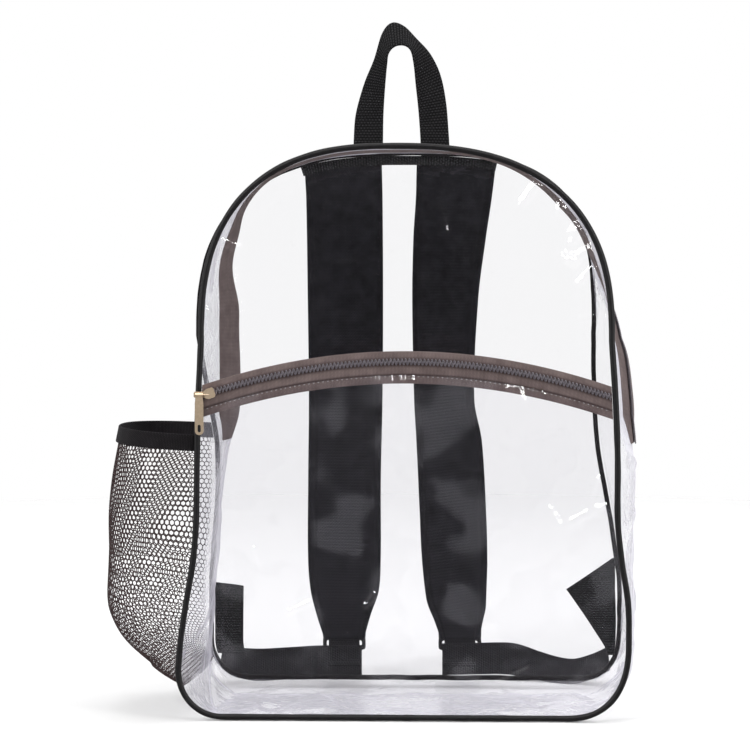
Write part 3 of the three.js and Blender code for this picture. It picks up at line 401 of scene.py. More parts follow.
def stitches(name, path, normal, pitch=3.2, share=0.72, wide=0.55, high=0.35):
    """Stitches at equal distances along a path: one spindle each, long along the path and low along the
    normal. share is the part of the pitch that shows above the cloth."""
    gaps = np.linalg.norm(np.diff(path, axis=0), axis=-1)
    run = np.concatenate([[0], np.cumsum(gaps)])
    count = max(int(run[-1] / pitch), 1)
    middles = (np.arange(count) + 0.5) * run[-1] / count
    at = np.stack([np.interp(middles, run, path[:, k]) for k in range(3)], -1)
    ahead = np.stack([np.interp(middles + 0.5, run, path[:, k]) for k in range(3)], -1)
    behind = np.stack([np.interp(middles - 0.5, run, path[:, k]) for k in range(3)], -1)
    up = np.stack([np.interp(middles, run, normal[:, k]) for k in range(3)], -1)
    along = unit(ahead - behind)
    up = unit(up - along * np.sum(up * along, -1, keepdims=True))
    axes = np.stack([along * pitch * share, np.cross(up, along) * wide, up * high], 1)
    points = at[:, None] + np.einsum("pk,nkc->npc", SPINDLE, axes)
    offset = np.arange(count)[:, None, None] * len(SPINDLE)
    faces = [(kind[None] + offset).reshape(-1, kind.shape[1]) for kind in (SPINDLE_QUADS, SPINDLE_ENDS)]
    return build(name, points.reshape(-1, 3), faces)


def solidify(piece, thick):
    wall = piece.modifiers.new("wall", "SOLIDIFY")
    wall.thickness = thick * MM
    wall.offset = 0
    return piece


def dress(piece, material, slot, *nodes):
    """Gives a piece its material and body, and hides the nodes of the frame that it stands for."""
    piece.data.materials.append(material)
    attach(piece, "bag")
    if nodes:
        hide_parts(*nodes)
    return piece


# Mixing materials

class Signal:
    """A socket of a material, with Python's operators as Math nodes."""

    def __init__(self, finish, socket):
        self.finish, self.socket = finish, socket

    def maths(self, operation, *inputs):
        return self.finish.node("ShaderNodeMath", {"operation": operation}, dict(enumerate(inputs)))

    def __add__(self, other):
        return self.maths("ADD", self, other)

    __radd__ = __add__

    def __mul__(self, other):
        return self.maths("MULTIPLY", self, other)

    __rmul__ = __mul__

    def __sub__(self, other):
        return self.maths("SUBTRACT", self, other)

    def __rsub__(self, other):
        return self.maths("SUBTRACT", other, self)

    def __truediv__(self, other):
        return self.maths("DIVIDE", self, other)

    def __rtruediv__(self, other):
        return self.maths("DIVIDE", other, self)

    def __pow__(self, other):
        return self.maths("POWER", self, other)

    def wave(self):
        """From 0 to 1 and back as the value passes 1: half of 1 + sin(2π value)."""
        return self.maths("SINE", self * (2 * np.pi)) * 0.5 + 0.5

    def clamp(self, low=0, high=1):
        return self.maths("MINIMUM", self.maths("MAXIMUM", self, low), high)


class Finish:
    """A material being mixed. node() adds one node, with its settings first and then its sockets."""

    def __init__(self, name):
        self.material = bpy.data.materials.new(name)
        self.material.use_nodes = True
        self.tree = self.material.node_tree
        self.tree.nodes.clear()

    def node(self, kind, settings=None, values=None, output=0):
        made = self.tree.nodes.new(kind)
        for key, value in (settings or {}).items():
            setattr(made, key, value)
        for key, value in (values or {}).items():
            if isinstance(value, Signal):
                self.tree.links.new(value.socket, made.inputs[key])
            else:
                made.inputs[key].default_value = value
        return Signal(self, made.outputs[output])

    def place(self):
        return self.node("ShaderNodeTexCoord", output="Object")

    def chart(self):
        """The piece's own map, in metres across and along."""
        both = self.node("ShaderNodeUVMap", {"uv_map": "UVMap"})
        split = [self.node("ShaderNodeSeparateXYZ", values={"Vector": both}, output=k) for k in (0, 1)]
        return split

    def noise(self, size, detail=2, rough=0.5):
        """Noise from 0 to 1 with grains of a size in millimetres."""
        values = {"Vector": self.place(), "Scale": 1 / (size * MM), "Detail": detail, "Roughness": rough}
        return self.node("ShaderNodeTexNoise", values=values)

    def blend(self, share, a, b):
        return self.node("ShaderNodeMix", {"data_type": "RGBA"}, {0: share, 6: a, 7: b}, output=2)

    def bump(self, height, distance, strength=1.0):
        values = {"Strength": strength, "Distance": distance * MM, "Height": height}
        return self.node("ShaderNodeBump", values=values)

    def mixed(self, share, a, b):
        return self.node("ShaderNodeMixShader", values={0: share, 1: a, 2: b})

    def skin(self, **values):
        """The Principled shader, with its sockets named in words."""
        names = {
            "colour": "Base Color", "metal": "Metallic", "rough": "Roughness", "normal": "Normal",
            "sheen": "Sheen Weight", "sheen_rough": "Sheen Roughness", "specular": "Specular IOR Level",
        }
        named = {names[key]: value for key, value in values.items()}
        return self.node("ShaderNodeBsdfPrincipled", values=named)

    def done(self, shader):
        output = self.tree.nodes.new("ShaderNodeOutputMaterial")
        self.tree.links.new(shader.socket, output.inputs["Surface"])
        return self.material


def colour(*rgb):
    return (*rgb, 1.0)


def clear_vinyl(name, haze, crinkle=0.5, scuffs=0.3, patches=0.0, tint=(0.985, 0.985, 0.99)):
    """Clear vinyl: what is behind it shows through, less what its gloss mirrors, under a thin milky haze, with
    a few scuffs and cloudy patches. Facing runs from 0 face on to 1 edge on: the mirror's share is
    0.03 + 0.9 facing^5, and the haze's is haze / (1.06 - facing)^1.5. Lamps' light passes through."""
    film = Finish(name)
    relief = film.bump(film.noise(22, 3, 0.55), 2 * crinkle)
    facing = film.node("ShaderNodeLayerWeight", values={"Blend": 0.5, "Normal": relief}, output="Facing")
    shine = facing ** 5 * 0.9 + 0.03
    clear = film.node("ShaderNodeBsdfTransparent", values={"Color": colour(*tint)})
    mirror = {"Color": colour(1, 1, 1), "Roughness": 0.05, "Normal": relief}
    gloss = film.node("ShaderNodeBsdfGlossy", values=mirror)
    milk = film.skin(colour=colour(0.62, 0.61, 0.67), rough=0.6, specular=0.0)
    scuff = (film.noise(7, 7, 0.78) - 0.6).clamp() * scuffs
    patch = ((film.noise(34, 2, 0.4) - 0.5) * 12).clamp() * patches
    cloud = (haze / (1.06 - facing) ** 1.5 + scuff + patch).clamp(0, 0.75)
    lamp_ray = film.node("ShaderNodeLightPath", output="Is Shadow Ray")
    seen = film.mixed(cloud, film.mixed(shine, clear, gloss), milk)
    return film.done(film.mixed(lamp_ray, seen, clear))


def woven(name, dark, light, rib=1.1, pick=0.9, depth=0.25, sheen=0.05, rough=0.8, fleck=0.35, shade_lines=(),
          specular=0.02):
    """Woven webbing: ribs across by picks along, in millimetres, in two shades, with a soft uneven tone. Each
    shade line is painted shade along it, where a zipper's coil overhangs the tape or a seam makes a groove:
    its place across and its width, in millimetres."""
    cloth = Finish(name)
    across, along = cloth.chart()
    row = along / (pick * MM)
    ribs = (across / (rib * MM) + row.maths("FLOOR", row) * 0.5).wave()
    weave = (row + 0.75).wave() * (ribs * 0.8 + 0.2)
    tone = cloth.noise(9, 3)
    share = (weave * (1 - fleck) + tone * fleck).clamp()
    # Painted shade: each line darkens the tape's colour, under the coil or in the groove by the pocket's stitched
    # edge
    for at, wide in shade_lines:
        off = (across - at * MM) / (wide * MM)
        share = share * (1 - off.maths("EXPONENT", 0 - off * off) * 0.9)
    relief = cloth.bump(weave, depth)
    return cloth.done(cloth.skin(
        colour=cloth.blend(share, colour(*dark), colour(*light)),
        rough=rough, normal=relief, sheen=sheen, sheen_rough=0.4, specular=specular,
    ))


def satin(name, dark, light, grain=3, rough=0.4, depth=0.1, specular=0.2):
    """A smooth moulded surface with a slightly uneven tone and a faint grain."""
    skin = Finish(name)
    tone = skin.noise(grain, 3)
    fine = skin.noise(grain / 6, 2)
    return skin.done(skin.skin(
        colour=skin.blend(tone, colour(*dark), colour(*light)),
        rough=(tone * 0.15 + (rough - 0.07)).clamp(), normal=skin.bump(fine, depth), specular=specular,
    ))


def aged_brass(name):
    """Brass gone brown, brighter where it is rubbed."""
    metal = Finish(name)
    tone = metal.noise(2.5, 4, 0.6)
    rub = metal.noise(6, 2)
    share = (tone * 0.6 + rub * 0.4).clamp()
    return metal.done(metal.skin(
        colour=metal.blend(share, colour(0.28, 0.2, 0.14), colour(0.8, 0.64, 0.46)),
        metal=(0.75 + 0.25 * share).clamp(), rough=(0.5 - 0.2 * share).clamp(), normal=metal.bump(tone, 0.05),
    ))


VINYL_CLEAR = clear_vinyl("clear_vinyl", haze=0.0012)
VINYL_POCKET = clear_vinyl("clear_vinyl_pocket", haze=0.008, scuffs=0.5, patches=0.05,
                           tint=(0.955, 0.95, 0.965))
VINYL_SIDE = clear_vinyl("clear_vinyl_side", haze=0.055, crinkle=0.8)
PIPING_BLACK = satin("piping_black", (0.006, 0.0055, 0.006), (0.016, 0.015, 0.016), rough=0.45, specular=0.08)
BINDING_BLACK = woven("binding_black", (0.004, 0.0035, 0.004), (0.03, 0.027, 0.03), rib=1.2, pick=1.2)
WEBBING_BLACK = woven(
    "webbing_black", (0.0025, 0.0025, 0.0028), (0.04, 0.039, 0.041), rib=2.2, pick=2.1, depth=0.3, fleck=0.15)
# Painted highlight: the haul loop's folded feet are its own black webbing, coloured several times lighter for the
# light they catch
WEBBING_FOLD_PAINTED_HIGHLIGHT = woven("webbing_fold_painted_highlight", (0.06, 0.058, 0.06), (0.2, 0.195, 0.2), rib=2.2, pick=2.1, depth=0.2)
WEBBING_GREY = woven("webbing_grey", (0.006, 0.0058, 0.007), (0.04, 0.038, 0.043), rib=2, pick=1.8, depth=0.3)
STRAP_BLACK = woven(
    "strap_black", (0.0023, 0.0022, 0.0033), (0.026, 0.0245, 0.03), rib=1.2, pick=1.2, depth=0.15, fleck=0.88)
TAPE_BROWN = woven("tape_brown", (0.06, 0.044, 0.044), (0.24, 0.19, 0.185), rib=1, pick=1, depth=0.15, fleck=0.6)
# Painted shade on the pocket's zipper tapes: dark lines under the coil, and on the lower tape also in the groove
# at the vinyl's top edge
UPPER_SHADE_LINES, LOWER_SHADE_LINES = [(5.9, 1.7)], [(1.4, 1.9), (9.3, 0.9)]
TAPE_UPPER = woven(
    "tape_brown_upper", (0.07, 0.05, 0.05), (0.3, 0.235, 0.225), rib=1, pick=1, depth=0.15, fleck=0.6,
    shade_lines=UPPER_SHADE_LINES)
TAPE_LOWER = woven(
    "tape_brown_lower", (0.05, 0.036, 0.036), (0.28, 0.215, 0.205), rib=1, pick=1, depth=0.15, fleck=0.6,
    shade_lines=LOWER_SHADE_LINES)
COIL_PLUM = satin("coil_plum", (0.07, 0.06, 0.068), (0.22, 0.195, 0.22), grain=1.5, rough=0.4)
BRASS_AGED = aged_brass("brass_aged")
PLASTIC_BLACK = satin("plastic_black", (0.01, 0.01, 0.011), (0.022, 0.021, 0.023), rough=0.35)
NET_BLACK = satin(
    "net_black", (0.02, 0.012, 0.012), (0.075, 0.05, 0.05), grain=2, rough=0.7, specular=0.05)
THREAD_GREY = satin("thread_grey", (0.12, 0.11, 0.115), (0.45, 0.43, 0.44), grain=4, rough=0.6)


# The clear sheets

def puckers(turn_run, inward, length=24, high=0.9, seed=3):
    """Puckers square to a seam: a wave along it whose length drifts, dying away with the distance in."""
    drift = dimples(turn_run, 0 * turn_run, 90, seed) * 2.2
    swell = 0.6 + 0.4 * dimples(turn_run, 0 * turn_run + 50, 60, seed + 1)
    return high * swell * np.sin(2 * np.pi * turn_run / length + drift * 2) * np.exp(-inward / 15)


def inner_rings(outline, centre, count):
    """Rings inside a closed outline that shrink to its centre, closer together near the outline."""
    shares = 1 - np.linspace(0, 1, count) ** 1.25
    return centre + shares[:, None, None] * (outline[None] - centre)


def outline_of(seam, by, count):
    turns, run = seam.evenly(0, 8, count + 1)
    x, z = seam.inset(turns[:-1], by)
    return np.stack([x, z], -1), np.arange(count) / count * run


def panel_sheet(name, outline, run, centre, depth_at, rings=44, flip=False):
    """A panel inside a closed outline. depth_at(x, z, run, inward) is the y of each place, from its distance
    round the seam and its distance in from it."""
    flat = inner_rings(outline, np.array(centre), rings)
    inward = np.linalg.norm(flat - outline[None], axis=-1)
    x, z = flat[..., 0], flat[..., 1]
    y = depth_at(x, z, np.broadcast_to(run, x.shape), inward)
    return surface(name, np.stack([x, y, z], -1), wrap_cols=True, pole=True, flip=flip)


def strokes(x, z, table):
    """Short folds that catch the light: each is a ridge of its height times exp(-(distance / width)²) from
    one place to another, fading at both ends. A row is x, z, x, z, width and height."""
    total = 0 * x
    for x0, z0, x1, z1, wide, high in table:
        long = np.hypot(x1 - x0, z1 - z0)
        along = ((x - x0) * (x1 - x0) + (z - z0) * (z1 - z0)) / long ** 2
        aside = ((x - x0) * (z1 - z0) - (z - z0) * (x1 - x0)) / long
        ends = np.clip(np.minimum(along, 1 - along) * 4 + 0.2, 0, 1)
        total = total + high * ends * np.exp(-((aside / wide) ** 2))
    return total


# Folds of the front, seen in the photograph as white strokes by the arch on the right
FRONT_FOLDS = [
    (101, 397, 80, 370, 3.4, 3), (112, 391, 111, 363, 2.6, 2.4), (146, 348, 112, 331, 3.6, 3.2),
    (112, 341, 124, 328, 3, 2.6), (137, 331, 121, 314, 2.6, 2.4), (155, 294, 118, 291, 2.8, 2.6),
    (138, 369, 116, 352, 3.8, 3.2), (128, 358, 118, 344, 3, 2.8), (-143, 352, -114, 340, 3, 2.6),
    (-148, 300, -128, 296, 2.6, 2), (24, 374, 30, 350, 2, 1.5), (-54, 330, -30, 332, 1.8, 1),
]


def front_depth(x, z, run, inward):
    """The belly of the front, with broad dents, a few creases, and puckers along the seam over the arch."""
    above = np.clip((z - 262) / 40, 0, 1)
    dents = 0.9 * dimples(x, z, 62, 11) + 0.35 * dimples(x, z, 24, 12) + 0.5 * creases(x, z + 0.5 * x, 75, 13)
    fade = np.clip(inward / 12, 0, 1)
    folds = strokes(x, z, FRONT_FOLDS) * np.clip(inward / 3, 0, 1)
    return front_face(x, z) + 1.1 + above * (dents * fade + puckers(run, inward, 21, 0.8, 5) - folds)


def back_depth(x, z, run, inward):
    """The belly of the back, with broad dents."""
    fade = np.clip(inward / 14, 0, 1)
    return back_face(x, z) - fade * (0.7 * dimples(x, z, 80, 21) + 0.7)


front_outline, front_run = outline_of(front, PIPING_RADIUS + 0.1, 760)
back_outline, back_run = outline_of(back, BINDING["across"] / 2 + 0.1, 360)
BAG_MIDDLE = (0, front.crown / 2)
front_sheet = panel_sheet("front_sheet", front_outline, front_run, BAG_MIDDLE, front_depth, rings=90)
dress(front_sheet, VINYL_CLEAR, "vinyl", "front_panel")
back_sheet = panel_sheet("back_sheet", back_outline, back_run, BAG_MIDDLE, back_depth, rings=36, flip=True)
dress(back_sheet, VINYL_CLEAR, "vinyl", "back_panel")

MAIN_ZIP = {"end": 200, "tape": 11.5, "coil": 5}
TAPE_THICK = 0.7
zip_start = float(front.way_at(1.0, MAIN_ZIP["end"]))
zip_finish = 8 - float(front.way_at(-1.0, MAIN_ZIP["end"]))
seam_start = PIPING_RADIUS + CLEAR
seam_end = DEPTH - BINDING["deep"] / 2 - CLEAR
zip_middle = DEPTH / 2
tape_start = zip_middle - MAIN_ZIP["coil"] / 2 - CLEAR - MAIN_ZIP["tape"]
tape_end = DEPTH - tape_start


def gusset_sheet(name, start, end, from_y, to_y, count, across, crumple, flip=False):
    """A clear strip of the gusset between two depths and two turns, with folds across it that die at its
    seams, and a crumple that grows towards its middle."""
    turns, run = front.evenly(start, end, count)
    turn, t = np.meshgrid(turns, np.linspace(from_y, to_y, across) / DEPTH)
    places, out = gusset(turn, t)
    along = np.broadcast_to(np.linspace(0, run, count), turn.shape)
    depth = t * DEPTH
    hem = np.clip(np.minimum(depth - from_y, to_y - depth) / 10, 0, 1)
    folds = dimples(along, depth * 0.35, 17, 31) * 0.8 + creases(along + 0.4 * depth, depth * 0.5, 34, 32)
    lifted = places + out * (crumple * hem * (folds - 0.2))[..., None]
    lifted[..., 2] = np.maximum(lifted[..., 2], VINYL / 2)
    made = surface(name, lifted, flip=flip)
    return made


front_strip = gusset_sheet(
    "gusset_front_sheet", zip_start, zip_finish, seam_start, tape_start, 420, 20, 0.8, flip=True)
dress(front_strip, VINYL_SIDE, "vinyl", "gusset_front_strip")
rear_strip = gusset_sheet(
    "gusset_rear_sheet", zip_start, zip_finish, tape_end, seam_end, 420, 20, 0.8, flip=True)
dress(rear_strip, VINYL_SIDE, "vinyl", "gusset_rear_strip")
lower_sheet = gusset_sheet(
    "lower_gusset_sheet", zip_finish - 8, zip_start, seam_start, seam_end, 460, 56, 1.5, flip=True)
dress(lower_sheet, VINYL_SIDE, "vinyl", "lower_gusset")


# Piping and binding

def seam_path(seam, y, count=560):
    turns, run = seam.evenly(0, 8, count + 1)
    sign, way = seam.hand(turns[:-1])
    x, z = seam.point(sign, way)
    nx, nz = seam.out(sign, way)
    along = np.arange(count) / count * run
    return np.stack([x, np.full_like(x, y), z], -1), np.stack([nx, 0 * nx, nz], -1), along


path, out, along = seam_path(front, 0)
wobble = 1 + 0.05 * dimples(along, 0 * along, 14, 41)
piping = tube("front_piping_bead", path, out, PIPING_RADIUS * wobble, 14)
dress(piping, PIPING_BLACK, "piping", "front_piping")


def binding_section(points=20):
    """A rounded box seen along the seam: a superellipse of power 3, deeper along Y than across."""
    angle = np.arange(points) / points * 2 * np.pi
    curve = [np.sign(w) * np.abs(w) ** (2 / 3) for w in (np.cos(angle), np.sin(angle))]
    return curve[0] * BINDING["across"] / 2, curve[1] * BINDING["deep"] / 2


path, out, along = seam_path(back, DEPTH)
away, deep = binding_section()
wave = 0.25 * dimples(along, 0 * along, 9, 42)
places = path[:, None] + out[:, None] * (away[None, :, None] + wave[:, None, None])
places = places + np.array([0, 1, 0]) * deep[None, :, None]
places[..., 2] = np.maximum(places[..., 2], 0.2)
binding = surface("back_binding_tape", places, wrap_rows=True, wrap_cols=True)
dress(binding, BINDING_BLACK, "webbing", "back_binding")


# Zippers

def gusset_band(from_y, to_y, lift=0.0):
    """The gusset between two depths, over the top, lifted out by a distance: u goes back, v goes over."""
    turns, _ = front.evenly(zip_start, zip_finish, 400)

    def at(u, v):
        turn = np.interp(v, np.linspace(0, 1, 400), turns)
        places, out = gusset(turn, lerp(from_y, to_y, u) / DEPTH)
        return places + out * lift

    return at


EDGE_STEPS = np.array([0, 0.12, 0.3, 0.5, 0.7, 0.88, 1])
tape_near = gusset_band(tape_start, zip_middle - CLEAR / 2)
tape_far = gusset_band(zip_middle + CLEAR / 2, tape_end)
long_steps = np.linspace(0, 1, 420)
for name, band, node in (
    ("main_tape_near", tape_near, "main_zip_front_tape"),
    ("main_tape_far", tape_far, "main_zip_rear_tape"),
):
    dress(slab(name, band, TAPE_THICK, EDGE_STEPS, long_steps), TAPE_BROWN, "zip_tape", node)


def coil(name, line, across, lift, wide, high, pitch, thread, ring=7, sides=5):
    """Two interlocked spirals along a line. In each turn the wire goes out to one side, over and back, so
    its place is the line plus the across direction times wide * cos and the lift times high * sin, and the
    second spiral is the mirror of the first, half a pitch on. line, across and lift are (n, 3) arrays."""
    run = np.concatenate([[0], np.cumsum(np.linalg.norm(np.diff(line, axis=0), axis=-1))])
    turns = int(run[-1] / pitch)
    count = turns * ring
    pieces = []
    for side in (-1, 1):
        angle = np.arange(count + 1) / ring * 2 * np.pi
        at = (np.arange(count + 1) / ring + 0.25 * (side + 1)) * pitch
        at = np.clip(at, 0, run[-1])

        def along(values):
            return np.stack([np.interp(at, run, values[:, k]) for k in range(3)], -1)

        spread = side * (0.28 + 0.5 * np.cos(angle))[:, None] * wide
        wire = along(line) + along(across) * spread + along(lift) * (high / 2 * np.sin(angle))[:, None]
        pieces.append(tube(f"{name}_{side}", wire, along(lift) + 0 * wire, thread, sides, closed=False))
    return join(name, pieces)


def join(name, pieces):
    """One mesh from several, in order."""
    with bpy.context.temp_override(
        active_object=pieces[0], object=pieces[0], selected_objects=pieces, selected_editable_objects=pieces
    ):
        bpy.ops.object.join()
    pieces[0].name = name
    pieces[0].data.name = name
    return pieces[0]


turns, _ = front.evenly(zip_start, zip_finish, 500)
line, lift = gusset(turns, np.full_like(turns, zip_middle / DEPTH))
across = np.broadcast_to(np.array([0.0, 1, 0]), line.shape)
main_coil = coil("main_coil", line + lift * 1.4, across, lift, 2.3, 1.5, 1.7, 0.42)
dress(main_coil, COIL_PLUM, "zip_coil", "main_zip_coil")

POCKET_ZIP = {"crown": 268.5, "rise": 25, "half": 147, "upper": 4.2, "coil": 5.6, "lower": 6.2, "under": 6}
coil_top = POCKET_ZIP["upper"] + CLEAR
coil_bottom = coil_top + POCKET_ZIP["coil"]
lower_top = coil_bottom + CLEAR
vinyl_top = lower_top + POCKET_ZIP["lower"]
lower_bottom = vinyl_top + POCKET_ZIP["under"]
POCKET_AWAY = 1.6


def zip_arch(x, drop):
    return POCKET_ZIP["crown"] - drop - POCKET_ZIP["rise"] * (x / POCKET_ZIP["half"]) ** 2


def row_end(sign, drop):
    """Where a band of the pocket's zipper meets the seam, found by going to and fro a few times."""
    x = np.array([sign * POCKET_ZIP["half"]], float)
    for _ in range(6):
        way = front.way_at(sign, zip_arch(x, drop))
        x = front.inset(np.where(sign < 0, 8 - way, way), seam_start)[0]
    return float(x[0])


def zip_band(from_drop, to_drop, away):
    """A band of the pocket's zipper: u goes down across it, v goes from left to right."""
    ends = np.array([[row_end(sign, drop) for sign in (-1, 1)] for drop in (from_drop, to_drop)])

    def at(u, v):
        x = lerp(lerp(ends[0, 0], ends[1, 0], u), lerp(ends[0, 1], ends[1, 1], u), v)
        z = zip_arch(x, lerp(from_drop, to_drop, u))
        return np.stack([x, front_face(x, z) - away, z], -1)

    return at


coil_middle = coil_top + POCKET_ZIP["coil"] / 2
upper = zip_band(0, coil_middle - CLEAR / 2, 0.5)
lower = zip_band(coil_middle + CLEAR / 2, lower_bottom, 0.5)
band_steps = np.linspace(0, 1, 260)
for name, band, material, node in (
    ("pocket_tape_upper", upper, TAPE_UPPER, "pocket_zip_upper_tape"),
    ("pocket_tape_lower", lower, TAPE_LOWER, "pocket_zip_lower_tape"),
):
    dress(slab(name, band, TAPE_THICK, EDGE_STEPS, band_steps), material, "zip_tape", node)
coil_line = zip_band(coil_top, coil_bottom, 1.6)(np.full(400, 0.5), np.linspace(0, 1, 400))
forward = np.broadcast_to(np.array([0.0, -1, 0]), coil_line.shape)
upward = np.broadcast_to(np.array([0.0, 0, 1]), coil_line.shape)
pocket_coil = coil("pocket_coil", coil_line, upward, forward, 2.7, 1.2, 2.7, 0.45, ring=10)
dress(pocket_coil, COIL_PLUM, "zip_coil", "pocket_zip_coil")


# The pocket's clear sheet

POCKET_SWELL = {"bulge": 10, "across": 4, "up": 2.5}


def pocket_face(x, z):
    """How far forward the pocket stands: flat by its seams and swelling between them."""
    up = np.clip((z - front.floor) / (zip_arch(x, vinyl_top) - front.floor), 0, 1)
    across = np.maximum(1 - np.abs(x / front.base_half) ** POCKET_SWELL["across"], 0)
    swell = across * (1 - np.abs(2 * up - 1) ** POCKET_SWELL["up"])
    return front_face(x, z) - POCKET_AWAY - POCKET_SWELL["bulge"] * swell


def pocket_outline(count=760):
    """The seam round the pocket's sides and floor, then its top edge, at equal distances."""
    ends = {sign: row_end(sign, vinyl_top) for sign in (-1, 1)}
    tops = {sign: float(front.way_at(float(sign), zip_arch(ends[sign], vinyl_top))) for sign in (-1, 1)}
    turns, _ = front.evenly(-tops[-1], tops[1], 800)
    x, z = front.inset(turns, seam_start)
    top_x = np.linspace(ends[1], ends[-1], 300)[1:-1]
    line = np.concatenate([np.stack([x, z], -1), np.stack([top_x, zip_arch(top_x, vinyl_top)], -1)])
    loop = np.concatenate([line, line[:1]])
    run = np.concatenate([[0], np.cumsum(np.linalg.norm(np.diff(loop, axis=0), axis=-1))])
    at = np.arange(count) / count * run[-1]
    return np.stack([np.interp(at, run, loop[:, k]) for k in range(2)], -1), at


# The same on the pocket: a few by its upper edge, and long soft ones lower down
POCKET_FOLDS = [
    (-21, 254, -19, 246, 1.8, 1.6), (-8, 254, -7, 246, 1.6, 1.5), (-1, 254, -1, 246, 1.6, 1.5),
    (4, 254, 5, 246, 1.8, 1.6), (89, 245, 91, 239, 1.8, 1.5), (97, 243, 99, 237, 1.8, 1.5),
    (74, 247, 80, 230, 2.8, 2.6), (80, 246, 85, 232, 2.4, 2.4), (144, 160, 112, 143, 3.2, 2.8),
    (112, 143, 100, 160, 2.8, 2.4), (138, 182, 130, 158, 2.6, 2.4), (-90, 78, -60, 92, 2.6, 2),
    (-30, 84, -18, 98, 2.4, 2), (-52, 26, 0, 36, 2.6, 2.2), (60, 30, 92, 46, 2.6, 2.2),
    (-108, 132, -100, 110, 2.6, 2),
]


def pocket_depth(x, z, run, inward):
    """The pocket's swell, with broad dents and puckers along its seams."""
    fade = np.clip(inward / 12, 0, 1)
    dents = 1.2 * dimples(x, z, 70, 51) + 0.4 * dimples(x, z, 26, 52) + 0.7 * creases(x - 0.3 * z, z, 90, 53)
    return pocket_face(x, z) + fade * dents + puckers(run, inward, 26, 0.6, 55) - strokes(x, z, POCKET_FOLDS)


outline, run = pocket_outline()
pocket_middle = (0, zip_arch(0, vinyl_top) / 2)
pocket = panel_sheet("pocket_sheet", outline, run, pocket_middle, pocket_depth, rings=90)
dress(pocket, VINYL_POCKET, "vinyl", "pocket_panel")


# The haul loop, the band that the straps hang from, and the straps

# The loop's two edges from its left foot to its right: shares of its span, of its width and of its rise
HANDLE_EDGES = np.array([
    (-0.727, 0, 0, -0.283, 0, 0), (-0.722, 0, 0.15, -0.281, 0, 0.15), (-0.69, 0.03, 0.32, -0.275, 0, 0.32),
    (-0.565, 0.08, 0.535, -0.255, 0, 0.51), (-0.415, 0.16, 0.715, -0.23, -0.06, 0.665),
    (-0.3, 0.32, 0.905, -0.205, -0.22, 0.745), (-0.16, 0.36, 0.985, -0.11, -0.27, 0.795),
    (0.02, 0.34, 0.96, 0.03, -0.26, 0.805), (0.21, 0.3, 0.865, 0.13, -0.2, 0.77),
    (0.42, 0.2, 0.75, 0.17, -0.1, 0.68), (0.57, 0.1, 0.6, 0.2, 0, 0.52), (0.655, 0.03, 0.4, 0.235, 0, 0.36),
    (0.695, 0, 0.17, 0.265, 0, 0.17), (0.715, 0, 0, 0.28, 0, 0),
])
HANDLE = {"width": 23, "thick": 1.6, "foot": BACK_CROWN - 2.4, "rise": 105.5, "centre": -4, "span": 52}
handle_y = DEPTH + BINDING["deep"] / 2 + CLEAR + HANDLE["thick"] / 2


def handle_at(u, v):
    """The loop of webbing: its two edges read from the table, and straight between them."""
    ways = np.linspace(0, 1, len(HANDLE_EDGES))
    x0, y0, z0, x1, y1, z1 = [smooth(ways, column, v) for column in HANDLE_EDGES.T]
    return np.stack([
        HANDLE["centre"] + HANDLE["span"] * lerp(x0, x1, u),
        handle_y + HANDLE["width"] * lerp(y0, y1, u),
        HANDLE["foot"] + HANDLE["rise"] * lerp(z0, z1, u),
    ], -1)


cross_steps = np.linspace(0.04, 0.96, 13)
handle = slab("haul_loop", handle_at, HANDLE["thick"], cross_steps, np.linspace(0, 1, 160))
dress(handle, WEBBING_BLACK, "webbing", "haul_handle")
# The loop's folded feet, in the black webbing with a painted highlight
for number, (left, right) in enumerate([(-42, -19), (10.5, 35)]):
    foot_x = np.linspace(left, right, 24) + HANDLE["centre"] + 2
    foot_path = np.stack([foot_x, np.full(24, DEPTH - 1.5), np.full(24, BACK_CROWN + 3.2)], -1)
    fold = tube(f"haul_loop_fold_{number}", foot_path, np.tile([0.0, 0, 1], (24, 1)), 1.5, 10, closed=False)
    dress(fold, WEBBING_FOLD_PAINTED_HIGHLIGHT, "webbing")

TOP_BAND = {"left": -83, "right": 70, "tall": 6, "thick": 1.2}
band_drop = BINDING["across"] / 2 + 2 * CLEAR
band_low = band_drop + TOP_BAND["tall"]
band_y = back_face(0, back.crown - band_low) + 0.5 + CLEAR + TOP_BAND["thick"] / 2


def top_band_at(u, v):
    """A band that follows the arch of the back seam: v goes across, u goes down from it."""
    x = lerp(TOP_BAND["left"], TOP_BAND["right"], v)
    px, pz = back.inset(back.arch_turn(x), lerp(band_drop, band_low, u))
    return np.stack([px, np.full_like(px, band_y), pz], -1)


top_band = slab("strap_band", top_band_at, 1.1, EDGE_STEPS, np.linspace(0, 1, 90))
dress(top_band, WEBBING_BLACK, "webbing", "top_band")

STRAP = {"thick": 4, "top": BACK_CROWN - band_low, "bottom": 34, "bow": 32}
